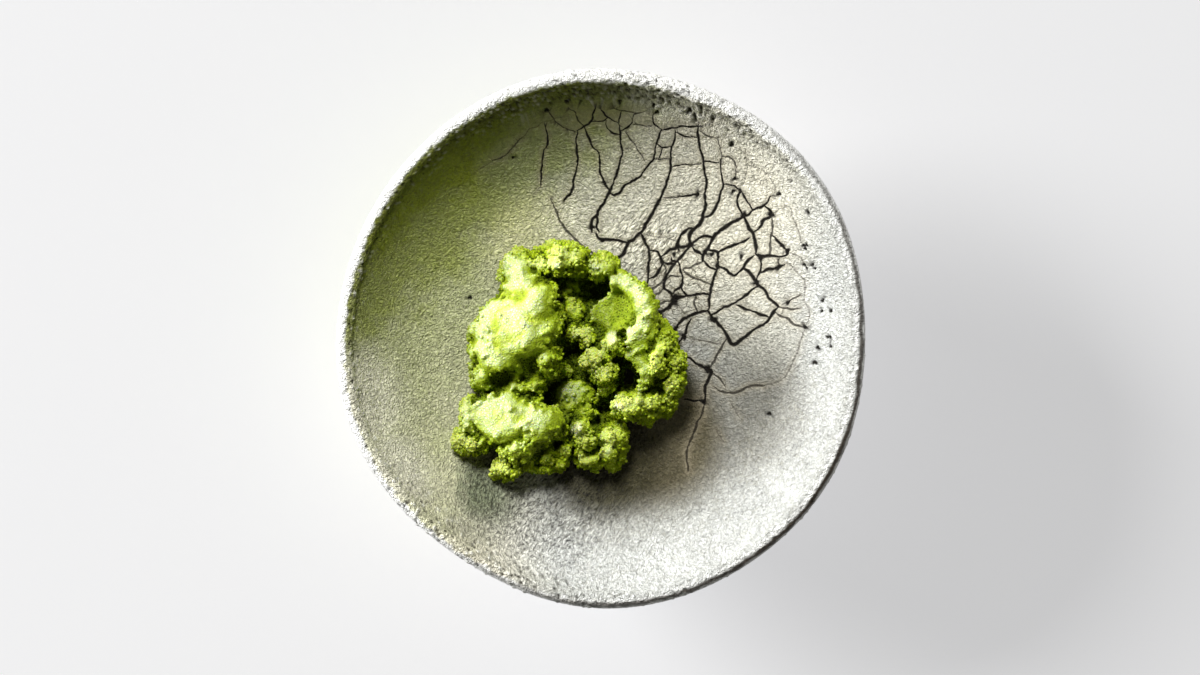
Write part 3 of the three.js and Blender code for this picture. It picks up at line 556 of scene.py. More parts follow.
def buildDish():
    lines = crackLines()
    points, triangles, onFloor = dishSkin(lines)
    normal = outwardAt(points, triangles)
    radius = thrownRadius(points[:, 0], points[:, 1])
    angle = np.arctan2(points[:, 1], points[:, 0])
    topside = (normal[:, 2] > -0.2) & (points[:, 2] > 6)
    toward = {name: np.clip(np.cos(angle - np.radians(turn)), 0, 1) for name, turn in dish["sides"].items()}
    masks, lift = gritAt(points, radius, topside, toward)
    lift += 0.05 * softNoise(points, 9, 61) + 0.02 * softNoise(points, 2.5, 62)

    # stained grooves, pools and pinholes, pressed into the glaze
    stain, groove, halo, pool, hole = np.zeros((5, len(points)))
    reached = np.flatnonzero(topside & (radius < 46.5) & (onFloor | (radius > 44)))
    plan = points[reached, :2]
    stain[reached], groove[reached], halo[reached] = stainAt(plan, lines)
    pool[reached] = spotAt(plan, [(x, y, 1.25 * size) for x, y, size in stainSpots])
    hole[reached] = spotAt(plan, pinholes)
    lift -= dish["grooveDepth"] * groove + dish["poolDepth"] * pool + dish["holeDepth"] * hole
    footing = (radius < dish["footOuter"] + 0.5) & ~topside
    points = points + normal * np.where(footing, 0, lift)[:, None]
    points[:, 2] = np.maximum(points[:, 2], 0)

    # the brown line on the lip towards the lower right, a burnt edge and painted shade on the side turned
    # from the lights, and the foot's bare clay
    wavering = radius + 0.25 * softNoise(points, 1.2, 34)
    burntAndShade = smoothstep(wavering, 48.75, 49.05) * (1 - smoothstep(wavering, 49.5, 49.8))
    masks["burntAndShade"] = burntAndShade * toward["lowRight"] ** 0.6 * (points[:, 2] > 19)
    masks["bare"] = smoothstep(-points[:, 2] + 0.5 * softNoise(points, 2.5, 35), -3.6, -2.9) * ~topside
    masks["inside"] = (topside & (radius < 49)) * 1.0
    masks["stain"] = np.maximum(stain, np.maximum(pool, hole))
    masks["halo"] = halo
    piece = meshFromArrays("crackleDish", points, triangles)
    for name, values in masks.items():
        addAttribute(piece, name, np.clip(values, 0, 1))
    print("dish:", len(triangles), "triangles")
    return piece


# What a user would change on the heap.
heap = {
    "cell": 0.32,             # spacing of the grid on which the skin is found
    "gridCorner": (-30.0, -30.5, 5.5),
    "gridSize": (49.5, 52.0, 23.0),
    "within": (-15.0, 1.5, 13.0),     # a place that is certainly inside the paste
    "tall": 1.25,             # all heights in the lobes, presses, fold and hollows are multiplied by this
    "softness": 0.6,          # how far lobes blend into each other
    "pressSoftness": 2.4,     # how far a pressed face blends into the sides
    "gap": 0.03,              # under the heap
    "bends": [(5.0, 0.75), (2.6, 0.3)],   # size and reach of the unevenness of the lobes
    "clumpSize": 2.6,
    "clumpHeight": 0.7,
    "fineClumpSize": 1.15,
    "shrink": 0.4,            # taken off the lobes before the crumbs are put on
    "crumbSpacing": 1.15,     # between crumbs that are fused into the skin
    "crumbRadius": (0.5, 1.05),
    "crumbRise": (-0.2, 0.45),
    "grainSpacing": 0.62,     # between the fine grains that stick to it
    "grainRadius": (0.2, 0.46),
    "mostGrains": 9500,
    "foldRadius": 2.0,
    "foldCrumbly": 0.16,
    "lightsSide": (-0.45, 0.4, 0.8),   # direction the lights come from; faces looking towards it are painted paler (painted light), faces turned away deeper green (painted shade)
    # palest crumbs, pale of their own and lit as painted highlight where they face the lights: x, y and half
    # width
    "palest": [(-9.8, -8.9, 0.8), (-4.2, -17.4, 1.3), (2.5, -21.8, 1.4), (-7.8, 13.4, 0.9),
               (2.4, 0, 1.4), (9.1, -7.5, 0.9), (3.4, -13.1, 1.0), (-20.6, -4.2, 0.7), (5.6, 1.2, 0.8),
               (-15.4, 10.6, 1.2), (-16.4, 3, 3.0), (7.2, 8.0, 1.0), (8.7, 5.4, 1.0), (8.7, 2.8, 1.0),
               (7.9, 0.2, 1.0)],
    "seed": 3,
}
# Lobes: x, y, height of the centre above the glaze, three half sizes, turn in degrees, and how crumbly the
# skin is, from 0 to 1.
lobes = {
    "core": [(-6, -4, 0.8, 14.5, 16.5, 2.4, 0, 1), (7, -5, 0.8, 7, 9.5, 2.4, 0, 1)],
    "leftShoulder": [
        (-14.2, 9, 4.6, 4, 4.6, 6.4, 0, 0.2), (-15.2, 1.5, 6, 8.4, 7.4, 8.6, 15, 0.06),
        (-12.3, 6.2, 6.2, 5, 4.4, 7, 0, 0.1), (-18.3, -3.5, 5, 6.5, 4.6, 7, -20, 0.08),
        (-21.6, 0.9, 4.2, 3.2, 2.6, 4.5, 0, 0.2), (-23.4, -2.1, 3.2, 1.5, 1.4, 2.2, 0, 0.4),
        (-21.8, -7, 4, 2.9, 3.2, 5, 0, 0.15), (-10.3, -3.2, 5.2, 2.7, 5, 7, -10, 0.35),
        (-9.2, 2.6, 5.4, 2.3, 3.4, 7, 0, 0.35)],
    "tongue": [(-16, -9.6, 4, 5.2, 1.9, 4.4, -5, 0.75), (-12.8, -8.8, 4, 2.5, 2.2, 4.8, 0, 0.8)],
    "lowerLeft": [
        (-17.4, -15, 4.6, 6.8, 5.2, 7.4, -20, 0.06), (-12, -16.2, 4.6, 4.8, 4.2, 7, -35, 0.15),
        (-15, -20.4, 3.8, 3.8, 3.6, 5.6, 20, 0.3)],
    "leftWing": [(-24.5, -15.4, 2.8, 1.8, 4.2, 4, 10, 0.4), (-24.9, -19.6, 2, 2.3, 2.3, 2.8, 0, 0.8),
                 (-22.3, -18.8, 2.4, 2.4, 2.2, 3.2, 0, 0.8)],
    "lowWing": [
        (-16.9, -24.2, 2.4, 3.3, 2, 3.2, 15, 0.9), (-14.4, -23, 2.6, 2.4, 2.2, 3.6, 0, 0.9),
        (-10, -21.6, 2.4, 4, 3.5, 3.8, 0, 0.9), (-7.4, -19.2, 2.4, 2.2, 2.6, 3.4, 0, 0.9)],
    "crown": [
        (-14.9, 12.2, 3.9, 3.2, 4, 5.6, 0, 0.25), (-11, 13.9, 4, 2.4, 2.4, 5, 0, 0.75),
        (-8, 14.7, 4.8, 2.9, 2.7, 5.6, 0, 0.6), (-5.2, 15, 4.4, 2.8, 2.4, 5, 0, 0.55),
        (-4, 13.4, 4, 2.2, 2, 4.6, 0, 0.7), (0.6, 13.2, 3.8, 2.8, 2.3, 5, 0, 0.35)],
    "valley": [
        (0, 9.3, 0.8, 4.2, 3, 2, 0, 1),
        (-10, 10.4, 2.8, 2.4, 2.8, 4, 0, 1), (-6.6, 9, 1.8, 2.6, 3, 2.9, 0, 1),
        (-5.6, 4.6, 2.2, 2.7, 3, 3.2, 0, 1), (-5, 1, 2.6, 2.7, 2.4, 3.8, 0, 1),
        (-2.4, 0.5, 3.2, 1.7, 1.6, 4.2, 0, 0.9), (-7.6, -6.2, 2.4, 2.4, 2.2, 3.4, 0, 1)],
    "scoopedLobe": [
        (3.2, 4.4, 3.6, 4.8, 5.2, 5.6, 0, 0.1), (7.4, 4.3, 3.4, 2.4, 4.8, 5.6, 0, 0.3),
        (5.2, 8, 3.6, 3.2, 2, 5.2, -20, 0.5)],
    "rightCluster": [
        (11.6, -1.6, 4.2, 2.8, 3.3, 5.2, 0, 0.9), (13.2, -4.8, 3.6, 2.5, 2.8, 4.8, 0, 0.9),
        (13, -8.6, 3.2, 2.6, 2.9, 4.6, 0, 1), (10.2, -5, 4.8, 2, 3.2, 6, 0, 0.8),
        (14.4, -9.2, 2.4, 1.5, 2.3, 3, 0, 1)],
    "arm": [
        (2.4, -0.4, 5.6, 2.1, 1.8, 5, 0, 0.6), (3.7, -1.6, 5, 1.8, 1.5, 4.4, 0, 0.7),
        (-0.6, -3.7, 4.8, 2.8, 1.8, 5, 25, 0.85), (0.7, -6.2, 4.2, 2.3, 2.4, 4.6, 0, 0.9),
        (1, -9.1, 3, 1.6, 1.4, 3.2, 0, 1)],
    "centreLobe": [(-5.2, -11.9, 2.2, 3.7, 4.2, 4.4, 0, 0.3), (-2.6, -14.6, 2.6, 1.5, 1.3, 2.8, 0, 0.9)],
    "lowerRight": [
        (5.6, -12.7, 3.6, 3.2, 2.3, 5.2, -10, 0.6), (9, -12.6, 3.2, 3.2, 2.7, 4.8, 0, 0.8),
        (12.2, -12, 2.4, 2.5, 2.3, 3.8, 0, 1), (8.6, -15, 1.8, 2.5, 1.3, 2.6, 0, 0.7)],
    "bottomKnobs": [
        (-4.1, -17.2, 3.8, 1.3, 1.4, 4.8, 0, 0.3), (-2.8, -19.6, 3, 2.8, 2.4, 4.6, 0, 0.8),
        (-1.6, -22.4, 2.2, 2.5, 1.9, 3.4, 0, 0.9), (2, -18.6, 3, 1.6, 1.4, 4.4, 0, 0.8),
        (2.5, -21.5, 3, 1.2, 1.6, 4.2, 0, 0.3), (3.4, -19.6, 2.6, 1.1, 2.5, 3.4, 0, 0.7),
        (2.6, -23.8, 1.2, 1.6, 0.9, 1.7, 0, 1)],
}
# Faces pressed flat by the spoon: the point that each passes through, with its height above the glaze, and
# its tilt.
presses = {"leftShoulder": (-15.5, 1, 12.6, -0.24, 0.16), "lowerLeft": (-16.2, -15.4, 10.4, -0.26, 0.16),
           "centreLobe": (-5.2, -11.8, 5.6, 0.1, -0.2)}
# The folded roll's middle, and what is scooped or hollowed out, with the same values as a lobe.
foldPath = [(0.9, 8.7, 6.2), (2.8, 9.6, 7.2), (5.2, 9.3, 8), (7.4, 7.6, 8.7), (8.7, 4.9, 9.2),
            (8.6, 2.2, 9), (7.6, -0.6, 8.2), (7.4, -3.4, 7.8), (8.2, -5.8, 7.6), (9.2, -7.8, 7)]
scoops = [(2.3, 4.9, 10.4, 4.0, 4.8, 3.1, -15), (-0.9, 5.2, 9.6, 3.2, 3.4, 3.0, 0)]  # smooth hollows
hollows = [(-18.6, -7.4, 9.6, 3.5, 1.4, 3.1, 20), (-1.2, 8.3, 6.0, 2.4, 4.5, 5.2, -50),
           (5.3, -7.2, 4.8, 2.8, 4.1, 5.8, 20), (-9, -20.8, 4.6, 1.5, 2.2, 4, 20),
           (0.9, -13.6, 4.5, 2.3, 2.4, 5, 0), (-10.2, -11.3, 4.5, 1.7, 2.9, 6, 0),
           (-5.6, -3.2, 5.5, 3.4, 1, 4.5, 25), (-6.9, -17.6, 4.5, 0.8, 2.7, 4.2, 10),
           (-23.3, -15.2, 4.5, 0.6, 0.7, 3, 0), (-19.8, -21.7, 3, 1.9, 0.7, 2.6, -20),
           (5.2, -17, 3, 0.9, 2, 3.5, 0), (-8, 7.2, 6.4, 1.1, 3, 3, -20)]

cell = heap["cell"]
gridCorner = np.array(heap["gridCorner"])
gridCounts = (np.array(heap["gridSize"]) / cell).astype(int)
gridAxes = [gridCorner[n] + np.arange(gridCounts[n]) * cell for n in range(3)]


def connected(mask, start):
    # the part of the mask that can be reached from start by steps along the axes
    reached = start & mask
    size = 0
    while reached.sum() != size:
        size = reached.sum()
        for _ in range(6):
            grown = reached.copy()
            for axis in range(3):
                ahead = [slice(None)] * 3
                behind = [slice(None)] * 3
                ahead[axis], behind[axis] = slice(1, None), slice(None, -1)
                grown[tuple(ahead)] |= reached[tuple(behind)]
                grown[tuple(behind)] |= reached[tuple(ahead)]
            reached = grown & mask
    return reached


def twoSheetTable():
    # for each of the 256 ways that a cell's corners can lie, True where the corners on one side aren't
    # all joined
    edges = [(a, a | bit) for a in range(8) for bit in (1, 2, 4) if not a & bit]
    table = np.zeros(256, bool)
    for pattern in range(1, 255):
        for side in (0, 1):
            wanted = {c for c in range(8) if (pattern >> c) & 1 == side}
            seen = {min(wanted)}
            for _ in range(8):
                seen |= {b for a, b in edges if a in seen and b in wanted}
                seen |= {a for a, b in edges if b in seen and a in wanted}
            table[pattern] |= seen != wanted
    return table


def skinOfField(field):
    # one point in each cell that the skin passes through, at the mean of where it cuts the cell's edges,
    # and a square across every grid edge that it cuts
    table = twoSheetTable()
    corners = [(c & 1, (c >> 1) & 1, (c >> 2) & 1) for c in range(8)]
    shape = np.array(field.shape) - 1

    def cornerOf(values, c):
        return values[tuple(slice(o, o + n) for o, n in zip(corners[c], shape))]

    for _ in range(12):
        pattern = sum(((cornerOf(field, c) < 0).astype(np.int32) << c) for c in range(8))
        doubled = table[pattern]
        if not doubled.any():
            break
        for c in range(8):
            view = cornerOf(field, c)
            view[doubled] = np.minimum(view[doubled], -0.05 * cell)
    crossed = (pattern > 0) & (pattern < 255)
    number = np.full(crossed.shape, -1, np.int64)
    number[crossed] = np.arange(crossed.sum())
    where = np.argwhere(crossed)
    values = np.stack([cornerOf(field, c)[crossed] for c in range(8)], 1)
    total = np.zeros((len(where), 3))
    hits = np.zeros(len(where))
    for a in range(8):
        for bit in (1, 2, 4):
            if a & bit:
                continue
            b = a | bit
            cut = (values[:, a] < 0) != (values[:, b] < 0)
            t = np.where(cut, values[:, a] / np.where(cut, values[:, a] - values[:, b], 1), 0)
            spot = np.array(corners[a]) + t[:, None] * (np.array(corners[b]) - np.array(corners[a]))
            total += spot * cut[:, None]
            hits += cut
    points = gridCorner + (where + total / hits[:, None]) * cell
    quads = []
    for axis in range(3):
        u, v = (axis + 1) % 3, (axis + 2) % 3
        low = np.moveaxis(field, (axis, u, v), (0, 1, 2))
        num = np.moveaxis(number, (axis, u, v), (0, 1, 2))
        start, end = low[:-1, 1:-1, 1:-1] < 0, low[1:, 1:-1, 1:-1] < 0
        ring = np.stack([num[:, :-1, :-1], num[:, 1:, :-1], num[:, 1:, 1:], num[:, :-1, 1:]], -1)
        quads.append(ring[start & ~end])
        quads.append(ring[~start & end][:, ::-1])
    return points, np.vstack(quads)


def latticeNoise(counts, step, seed):
    # random numbers from -1 to 1 on a coarse lattice, blended smoothly onto the fine grid axis by axis
    rng = np.random.default_rng(seed)
    spots = [np.arange(n) * step for n in counts]
    values = rng.uniform(-1, 1, [int(spot[-1]) + 2 for spot in spots]).astype(np.float32)
    for axis, spot in enumerate(spots):
        low = spot.astype(int)
        t = (spot - low).astype(np.float32)
        t = (t * t * (3 - 2 * t)).reshape([-1 if n == axis else 1 for n in range(3)])
        values = np.take(values, low, axis) * (1 - t) + np.take(values, low + 1, axis) * t
    return values


def averaged(values, reach):
    # mean over a cube of 2 * reach + 1 grid steps, from running sums along each axis
    width = 2 * reach + 1
    for axis in range(3):
        padded = np.concatenate([np.repeat(np.take(values, [0], axis), reach + 1, axis), values,
                                 np.repeat(np.take(values, [-1], axis), reach, axis)], axis)
        sums = np.cumsum(padded, axis, dtype=np.float64)
        first = np.arange(values.shape[axis])
        total = np.take(sums, first + width, axis) - np.take(sums, first, axis)
        values = (total / width).astype(np.float32)
    return values


def spread(points, spacing, rng):
    # the numbers of some of the points: one, taken at random, from each small cube that holds any
    order = rng.permutation(len(points))
    key = np.floor(points[order] / spacing).astype(np.int64) + 1000
    _, first = np.unique((key[:, 0] * 4001 + key[:, 1]) * 4001 + key[:, 2], return_index=True)
    return order[np.sort(first)]


def spansRound(centre, reach):
    # the slices of the grid that hold everything within reach of a centre
    return tuple(slice(max(0, int((centre[n] - reach[n] - gridCorner[n]) / cell)),
                       max(1, int((centre[n] + reach[n] - gridCorner[n]) / cell) + 2)) for n in range(3))


def nearestCells(places):
    # the grid point nearest to each place, as an index into a grid of values
    numbers = ((places - gridCorner) / cell).round().astype(int)
    return tuple(np.clip(numbers, 0, gridCounts - 1).T)


def aboveGlaze(x, y, height):
    return np.array([x, y, float(glazeHeight(np.hypot(x, y))) + height * heap["tall"]])


def smaller(a, b, soft=heap["softness"]):
    # soft minimum: the smaller of the two, less a bulge where they are nearly equal
    blend = np.clip(soft - np.abs(a - b), 0, None) / soft
    return np.minimum(a, b) - blend * blend * soft / 4


def bentOffsets(spans, centre, bend):
    # offsets from a centre, bent so that no lobe is quite round
    offsets = np.meshgrid(*[gridAxes[n][spans[n]] - centre[n] for n in range(3)], indexing="ij")
    return [offsets[n] + bend[n][spans] for n in range(3)]


def ellipsoid(row, bend):
    # about the distance to an ellipsoid: its scaled length times that less one, over how fast that grows
    x, y, height, rx, ry, rz, turn = row[:7]
    rz = rz * heap["tall"]
    centre = aboveGlaze(x, y, height)
    wide = max(rx, ry) + 3
    spans = spansRound(centre, (wide, wide, rz + 3))
    offset = bentOffsets(spans, centre, bend)
    cos, sin = np.cos(np.radians(turn)), np.sin(np.radians(turn))
    u, v = offset[0] * cos + offset[1] * sin, offset[1] * cos - offset[0] * sin
    scaled = np.sqrt((u / rx) ** 2 + (v / ry) ** 2 + (offset[2] / rz) ** 2)
    slope = np.sqrt((u / rx ** 2) ** 2 + (v / ry ** 2) ** 2 + (offset[2] / rz ** 2) ** 2)
    return spans, scaled * (scaled - 1) / np.maximum(slope, 1e-3), centre, offset


def pressedFlat(distance, press, centre, offset):
    # the part of a lobe below a tilted plane, with a soft edge between them
    x, y, height, tiltX, tiltY = press
    normal = np.array([tiltX, tiltY, 1]) / np.linalg.norm([tiltX, tiltY, 1])
    through = aboveGlaze(x, y, height)
    above = sum(normal[n] * (offset[n] + centre[n] - through[n]) for n in range(3))
    return -smaller(-distance, -above, heap["pressSoftness"])


def heapForm():
    # distance to the smooth form at every grid point, below 0 inside: lobes and the fold joined softly, then
    # hollowed out; with how crumbly the skin is near each point, and how far it is scooped smooth
    bend = [sum(reach * latticeNoise(gridCounts, cell / size, heap["seed"] + 10 * n + i)
                for i, (size, reach) in enumerate(heap["bends"])) for n in range(3)]
    field = np.full(gridCounts, 6.0, np.float32)
    weight = np.full(gridCounts, 1e-6, np.float32)
    crumbly = np.full(gridCounts, 0.8e-6, np.float32)

    def join(spans, distance, rough):
        field[spans] = smaller(field[spans], distance)
        share = np.exp(-np.clip(distance, -2, 3) / 0.5)
        weight[spans] += share
        crumbly[spans] += share * rough

    for name, group in lobes.items():
        for row in group:
            spans, distance, centre, offset = ellipsoid(row, bend)
            if name in presses:
                distance = pressedFlat(distance, presses[name], centre, offset)
            join(spans, distance, row[7])
    path = smoothLine([point[:2] for point in foldPath], 0.7)
    share, known = np.linspace(0, 1, len(path)), np.linspace(0, 1, len(foldPath))
    heights = np.interp(share, known, [point[2] for point in foldPath])
    for (x, y), height in zip(path, heights):
        centre = aboveGlaze(x, y, height)
        spans = spansRound(centre, (4.6, 4.6, 4.6))
        dx, dy, dz = bentOffsets(spans, centre, bend)
        join(spans, np.sqrt(dx ** 2 + dy ** 2 + dz ** 2) - heap["foldRadius"], heap["foldCrumbly"])
    scooped = np.zeros(gridCounts, np.float32)
    for row in scoops + hollows:
        spans, distance, _, _ = ellipsoid(row, bend)
        field[spans] = -smaller(-field[spans], distance)
        if row in scoops:
            scooped[spans] = np.maximum(scooped[spans], np.exp(-(distance / 0.9) ** 2))
    return field, averaged(averaged(crumbly / weight, 3), 3), scooped


def lumpy(field, gradient, rough, scooped):
    # clumps of two sizes and soft unevenness near the skin, more where it is crumbly; steep sides are
    # more crumbly than tops
    near = np.abs(field) < 2.0
    points = gridCorner + np.argwhere(near) * cell
    steep = 1 - np.clip(gradient[near][:, 2], 0, 1)
    share = rough[near] * 1.1 + 0.35 * smoothstep(steep, 0.4, 0.9) + 0.15 * softNoise(points, 3.5, 66)
    share = np.clip(share, 0, 1) ** 1.2
    rough[near] = share
    bent = points + 0.35 * np.stack([softNoise(points, 2.2, 70 + n) for n in range(3)], 1)
    clump, _ = cellDistance(bent, heap["clumpSize"], 81)
    fineClump, _ = cellDistance(points, heap["fineClumpSize"], 82)
    field[near] -= (heap["clumpHeight"] * share * (0.45 - clump ** 2) + 0.2 * softNoise(points, 1.9, 101)
                    + 0.3 * softNoise(points, 4, 103))
    field[near] -= ((0.2 + 0.2 * share) * (1 - 0.5 * scooped[near]) * (0.35 - fineClump ** 2)
                    + 0.08 * softNoise(points, 0.85, 102))
    field[near] += heap["shrink"] * share


def fuseCrumbs(field, gradient, rough, scooped, rng):
    # round crumbs fused into the skin, few and low where it is smooth
    skin = gridCorner + np.argwhere(np.abs(field) < 0.5 * cell) * cell
    chosen = skin[spread(skin, heap["crumbSpacing"], rng)]
    at = nearestCells(chosen)
    kept = (rng.random(len(chosen)) < 0.25 + 1.1 * rough[at]) & (scooped[at] < 0.3)
    chosen, share, outward = chosen[kept], rough[at][kept], gradient[at][kept]
    outward /= np.linalg.norm(outward, axis=1)[:, None] + 1e-6
    radius = rng.uniform(*heap["crumbRadius"], len(chosen)) * (0.75 + 0.3 * share)
    rise = rng.uniform(*heap["crumbRise"], len(chosen)) * (0.3 + 0.7 * share) - radius * (0.8 - 0.5 * share)
    centres = chosen + outward * rise[:, None] + rng.uniform(-0.3, 0.3, chosen.shape)
    jag = latticeNoise(gridCounts, cell / 0.9, heap["seed"] + 90)
    for centre, size in zip(centres, radius):
        spans = spansRound(centre, np.full(3, size + 0.7))
        dx, dy, dz = (gridAxes[n][spans[n]] - centre[n] for n in range(3))
        away = np.sqrt(dx[:, None, None] ** 2 + dy[None, :, None] ** 2 + dz[None, None, :] ** 2)
        field[spans] = np.minimum(field[spans], away - size + 0.3 * size * jag[spans])
    print("heap:", len(centres), "crumbs")


def withoutScraps(field):
    # loose scraps are dropped and closed bubbles filled
    solid = field < 0
    start = np.zeros_like(solid)
    start[nearestCells(np.array([heap["within"]]))] = True
    whole = connected(solid, start)
    field[solid & ~whole] = 0.3 * cell
    edge = np.zeros_like(solid)
    edge[0] = True
    field[~whole & ~connected(~whole, edge)] = -0.3 * cell


def blended(values, places):
    # the values of the eight grid points round each place, mixed by how near they are
    scaled = np.clip((places - gridCorner) / cell, 0, gridCounts - 1.001)
    low = scaled.astype(int)
    t = scaled - low
    total = 0
    for di, dj, dk in np.ndindex(2, 2, 2):
        share = np.abs(1 - di - t[:, 0]) * np.abs(1 - dj - t[:, 1]) * np.abs(1 - dk - t[:, 2])
        total = total + share * values[low[:, 0] + di, low[:, 1] + dj, low[:, 2] + dk]
    return total


def addTones(piece, grids, places, own):
    # what the paste's material reads at each point; own is a random number for each crumb
    at = nearestCells(places)
    palest = np.max([1 - smoothstep(np.hypot(places[:, 0] - x, places[:, 1] - y) / wide, 0.5, 1.1)
                     for x, y, wide in heap["palest"]], 0)
    addAttribute(piece, "crumbly", grids["crumbly"][at])
    addAttribute(piece, "nook", grids["nook"][at])     # about 0.5 on a flat skin, more in a nook
    addAttribute(piece, "broad", grids["broad"][at])   # how far the broad form looks towards the lights, for painted light and shade
    addAttribute(piece, "hollow", blended(grids["hollow"], places))
    addAttribute(piece, "scooped", blended(grids["scooped"], places))
    addAttribute(piece, "palest", palest)
    addAttribute(piece, "ownTone", own)


def grainStone():
    # the twelve corners and twenty faces of a regular stone, one mm in radius
    golden = (1 + 5 ** 0.5) / 2
    corners = np.array([
        (-1, golden, 0), (1, golden, 0), (-1, -golden, 0), (1, -golden, 0),
        (0, -1, golden), (0, 1, golden), (0, -1, -golden), (0, 1, -golden),
        (golden, 0, -1), (golden, 0, 1), (-golden, 0, -1), (-golden, 0, 1)])
    faces = np.array([
        (0, 11, 5), (0, 5, 1), (0, 1, 7), (0, 7, 10), (0, 10, 11), (1, 5, 9), (5, 11, 4), (11, 10, 2),
        (10, 7, 6), (7, 1, 8), (3, 9, 4), (3, 4, 2), (3, 2, 6), (3, 6, 8), (3, 8, 9), (4, 9, 5), (2, 4, 11),
        (6, 2, 10), (8, 6, 7), (9, 8, 1)])
    return corners / np.linalg.norm(corners[0]), faces


def buildGrains(points, normal, grids, rng):
    # fine grains: small uneven stones, clustered on the crumbly skin
    seat = spread(points, heap["grainSpacing"], rng)
    at = nearestCells(points[seat])
    clustered = 0.5 + 0.5 * softNoise(points[seat], 2.4, 120)
    likely = 2.0 * (grids["crumbly"][at] * clustered) ** 1.3 - 0.03
    wanted = (rng.random(len(seat)) < likely) & (grids["scooped"][at] < 0.3)
    clear = points[seat][:, 2] > glazeOver(*points[seat][:, :2].T) + 0.5
    seat = seat[wanted & clear][:heap["mostGrains"]]
    count = len(seat)
    corners, sides = grainStone()
    size = rng.uniform(*heap["grainRadius"], count)
    middles = points[seat] + normal[seat] * (size * rng.uniform(-0.3, 0.5, count))[:, None]
    bumps = rng.uniform(0.78, 1.15, (count, len(corners), 1))
    stretch = rng.uniform(0.8, 1.25, (count, 1, 3))
    grains = middles[:, None, :] + corners[None] * bumps * stretch * size[:, None, None]
    faces = sides[None] + len(corners) * np.arange(count)[:, None, None]
    piece = meshFromArrays("pasteGrains", grains.reshape(-1, 3), faces.reshape(-1, 3))
    own = np.repeat(rng.random(count), len(corners))
    addTones(piece, grids, np.repeat(middles, len(corners), 0), own)
    print("heap:", count, "grains,", len(sides) * count, "triangles")
    return piece


def buildHeap():
    rng = np.random.default_rng(heap["seed"])
    field, rough, scooped = heapForm()
    gradient = np.stack(np.gradient(averaged(field, 2), cell), -1)
    lumpy(field, gradient, rough, scooped)
    # how far the broad form faces the lights, which the paste paints as light and shade
    broad = np.stack(np.gradient(averaged(averaged(field, 3), 3), cell), -1)
    broad = (broad @ np.array(heap["lightsSide"])) / (np.linalg.norm(broad, axis=-1) + 0.05)
    fuseCrumbs(field, gradient, rough, scooped, rng)

    # nothing goes below the glaze, and the skin closes before the grid's sides
    base = glazeOver(*np.meshgrid(gridAxes[0], gridAxes[1], indexing="ij"))[:, :, None] + heap["gap"]
    field = np.maximum(field, base - gridAxes[2][None, None, :]).astype(np.float32)
    field[[0, -1]] = field[:, [0, -1]] = field[:, :, [0, -1]] = 3
    withoutScraps(field)
    points, quads = skinOfField(field)
    filled = (field < 0).astype(np.float32)
    grids = {"crumbly": rough, "scooped": scooped, "broad": broad,
             "nook": averaged(filled, 3), "hollow": averaged(filled, 9)}
    piece = meshFromArrays("gratedHeap", points, quads)
    _, clumpOwn = cellDistance(points, heap["crumbSpacing"], 83)
    addTones(piece, grids, points, 0.8 * clumpOwn)
    print("heap:", 2 * len(quads), "triangles")
    normal = np.zeros(len(points) * 3, np.float32)
    piece.data.vertices.foreach_get("normal", normal)
    return piece, buildGrains(points, normal.reshape(-1, 3), grids, rng)


dishPiece = buildDish()
heapPiece, grainPiece = buildHeap()


def place(tree, kind, sockets=None, **settings):
    # adds a node with its settings; each socket named or numbered gets a value, or a link where the value is
    # another node's output
    node = tree.nodes.new("ShaderNode" + kind)
    for key, value in settings.items():
        setattr(node, key, value)
    for key, value in (sockets or {}).items():
        if isinstance(value, bpy.types.NodeSocket):
            tree.links.new(value, node.inputs[key])
        else:
            node.inputs[key].default_value = value
    return node


def tinted(tree, factor, under, over, blend="MIX"):
    # colour under, changed to colour over by factor
    return place(tree, "Mix", {0: factor, 6: under, 7: over}, data_type="RGBA", blend_type=blend).outputs[2]


def ranged(tree, value, low, high, start=0.0, end=1.0):
    # value brought smoothly from low..high to start..end
    settings = {0: value, 1: low, 2: high, 3: start, 4: end}
    return place(tree, "MapRange", settings, interpolation_type="SMOOTHSTEP").outputs[0]


def figured(tree, kind, *values):
    # one step of arithmetic on values and outputs
    return place(tree, "Math", dict(enumerate(values)), operation=kind).outputs[0]


def shaded(tree, colour, shade):
    # colour times shade
    grey = place(tree, "CombineColor", {0: shade, 1: shade, 2: shade}).outputs[0]
    return tinted(tree, 1.0, colour, grey, "MULTIPLY")


def raised(tree, shader, relief, strength, height):
    bump = place(tree, "Bump", {"Strength": strength, "Distance": height, "Height": relief})
    tree.links.new(bump.outputs[0], shader.inputs["Normal"])


def newGroup(name, inputs, outputs):
    # an empty node group with its named inputs and outputs
    group = bpy.data.node_groups.new(name, "ShaderNodeTree")
    for label, kind, value in inputs:
        socket = group.interface.new_socket(label, in_out="INPUT", socket_type=kind)
        if value is not None:
            socket.default_value = value
    for label, kind in outputs:
        group.interface.new_socket(label, in_out="OUTPUT", socket_type=kind)
    return group, group.nodes.new("NodeGroupInput").outputs, group.nodes.new("NodeGroupOutput").inputs


def mottleGroup():
    # soft patches and fine grain over a surface, both as values about 0
    group, given, result = newGroup("mottle", [
        ("Position", "NodeSocketVector", None), ("Patch Size", "NodeSocketFloat", 8.0),
        ("Grain Size", "NodeSocketFloat", 0.4)],
        [("Patches", "NodeSocketFloat"), ("Grain", "NodeSocketFloat")])
    for label, size, detail in (("Patches", "Patch Size", 3.0), ("Grain", "Grain Size", 2.0)):
        scale = figured(group, "DIVIDE", 1.0, given[size])
        settings = {"Vector": given["Position"], "Scale": scale, "Detail": detail, "Roughness": 0.55}
        noise = place(group, "TexNoise", settings).outputs[0]
        group.links.new(ranged(group, noise, 0.25, 0.75, -1.0, 1.0), result[label])
    return group


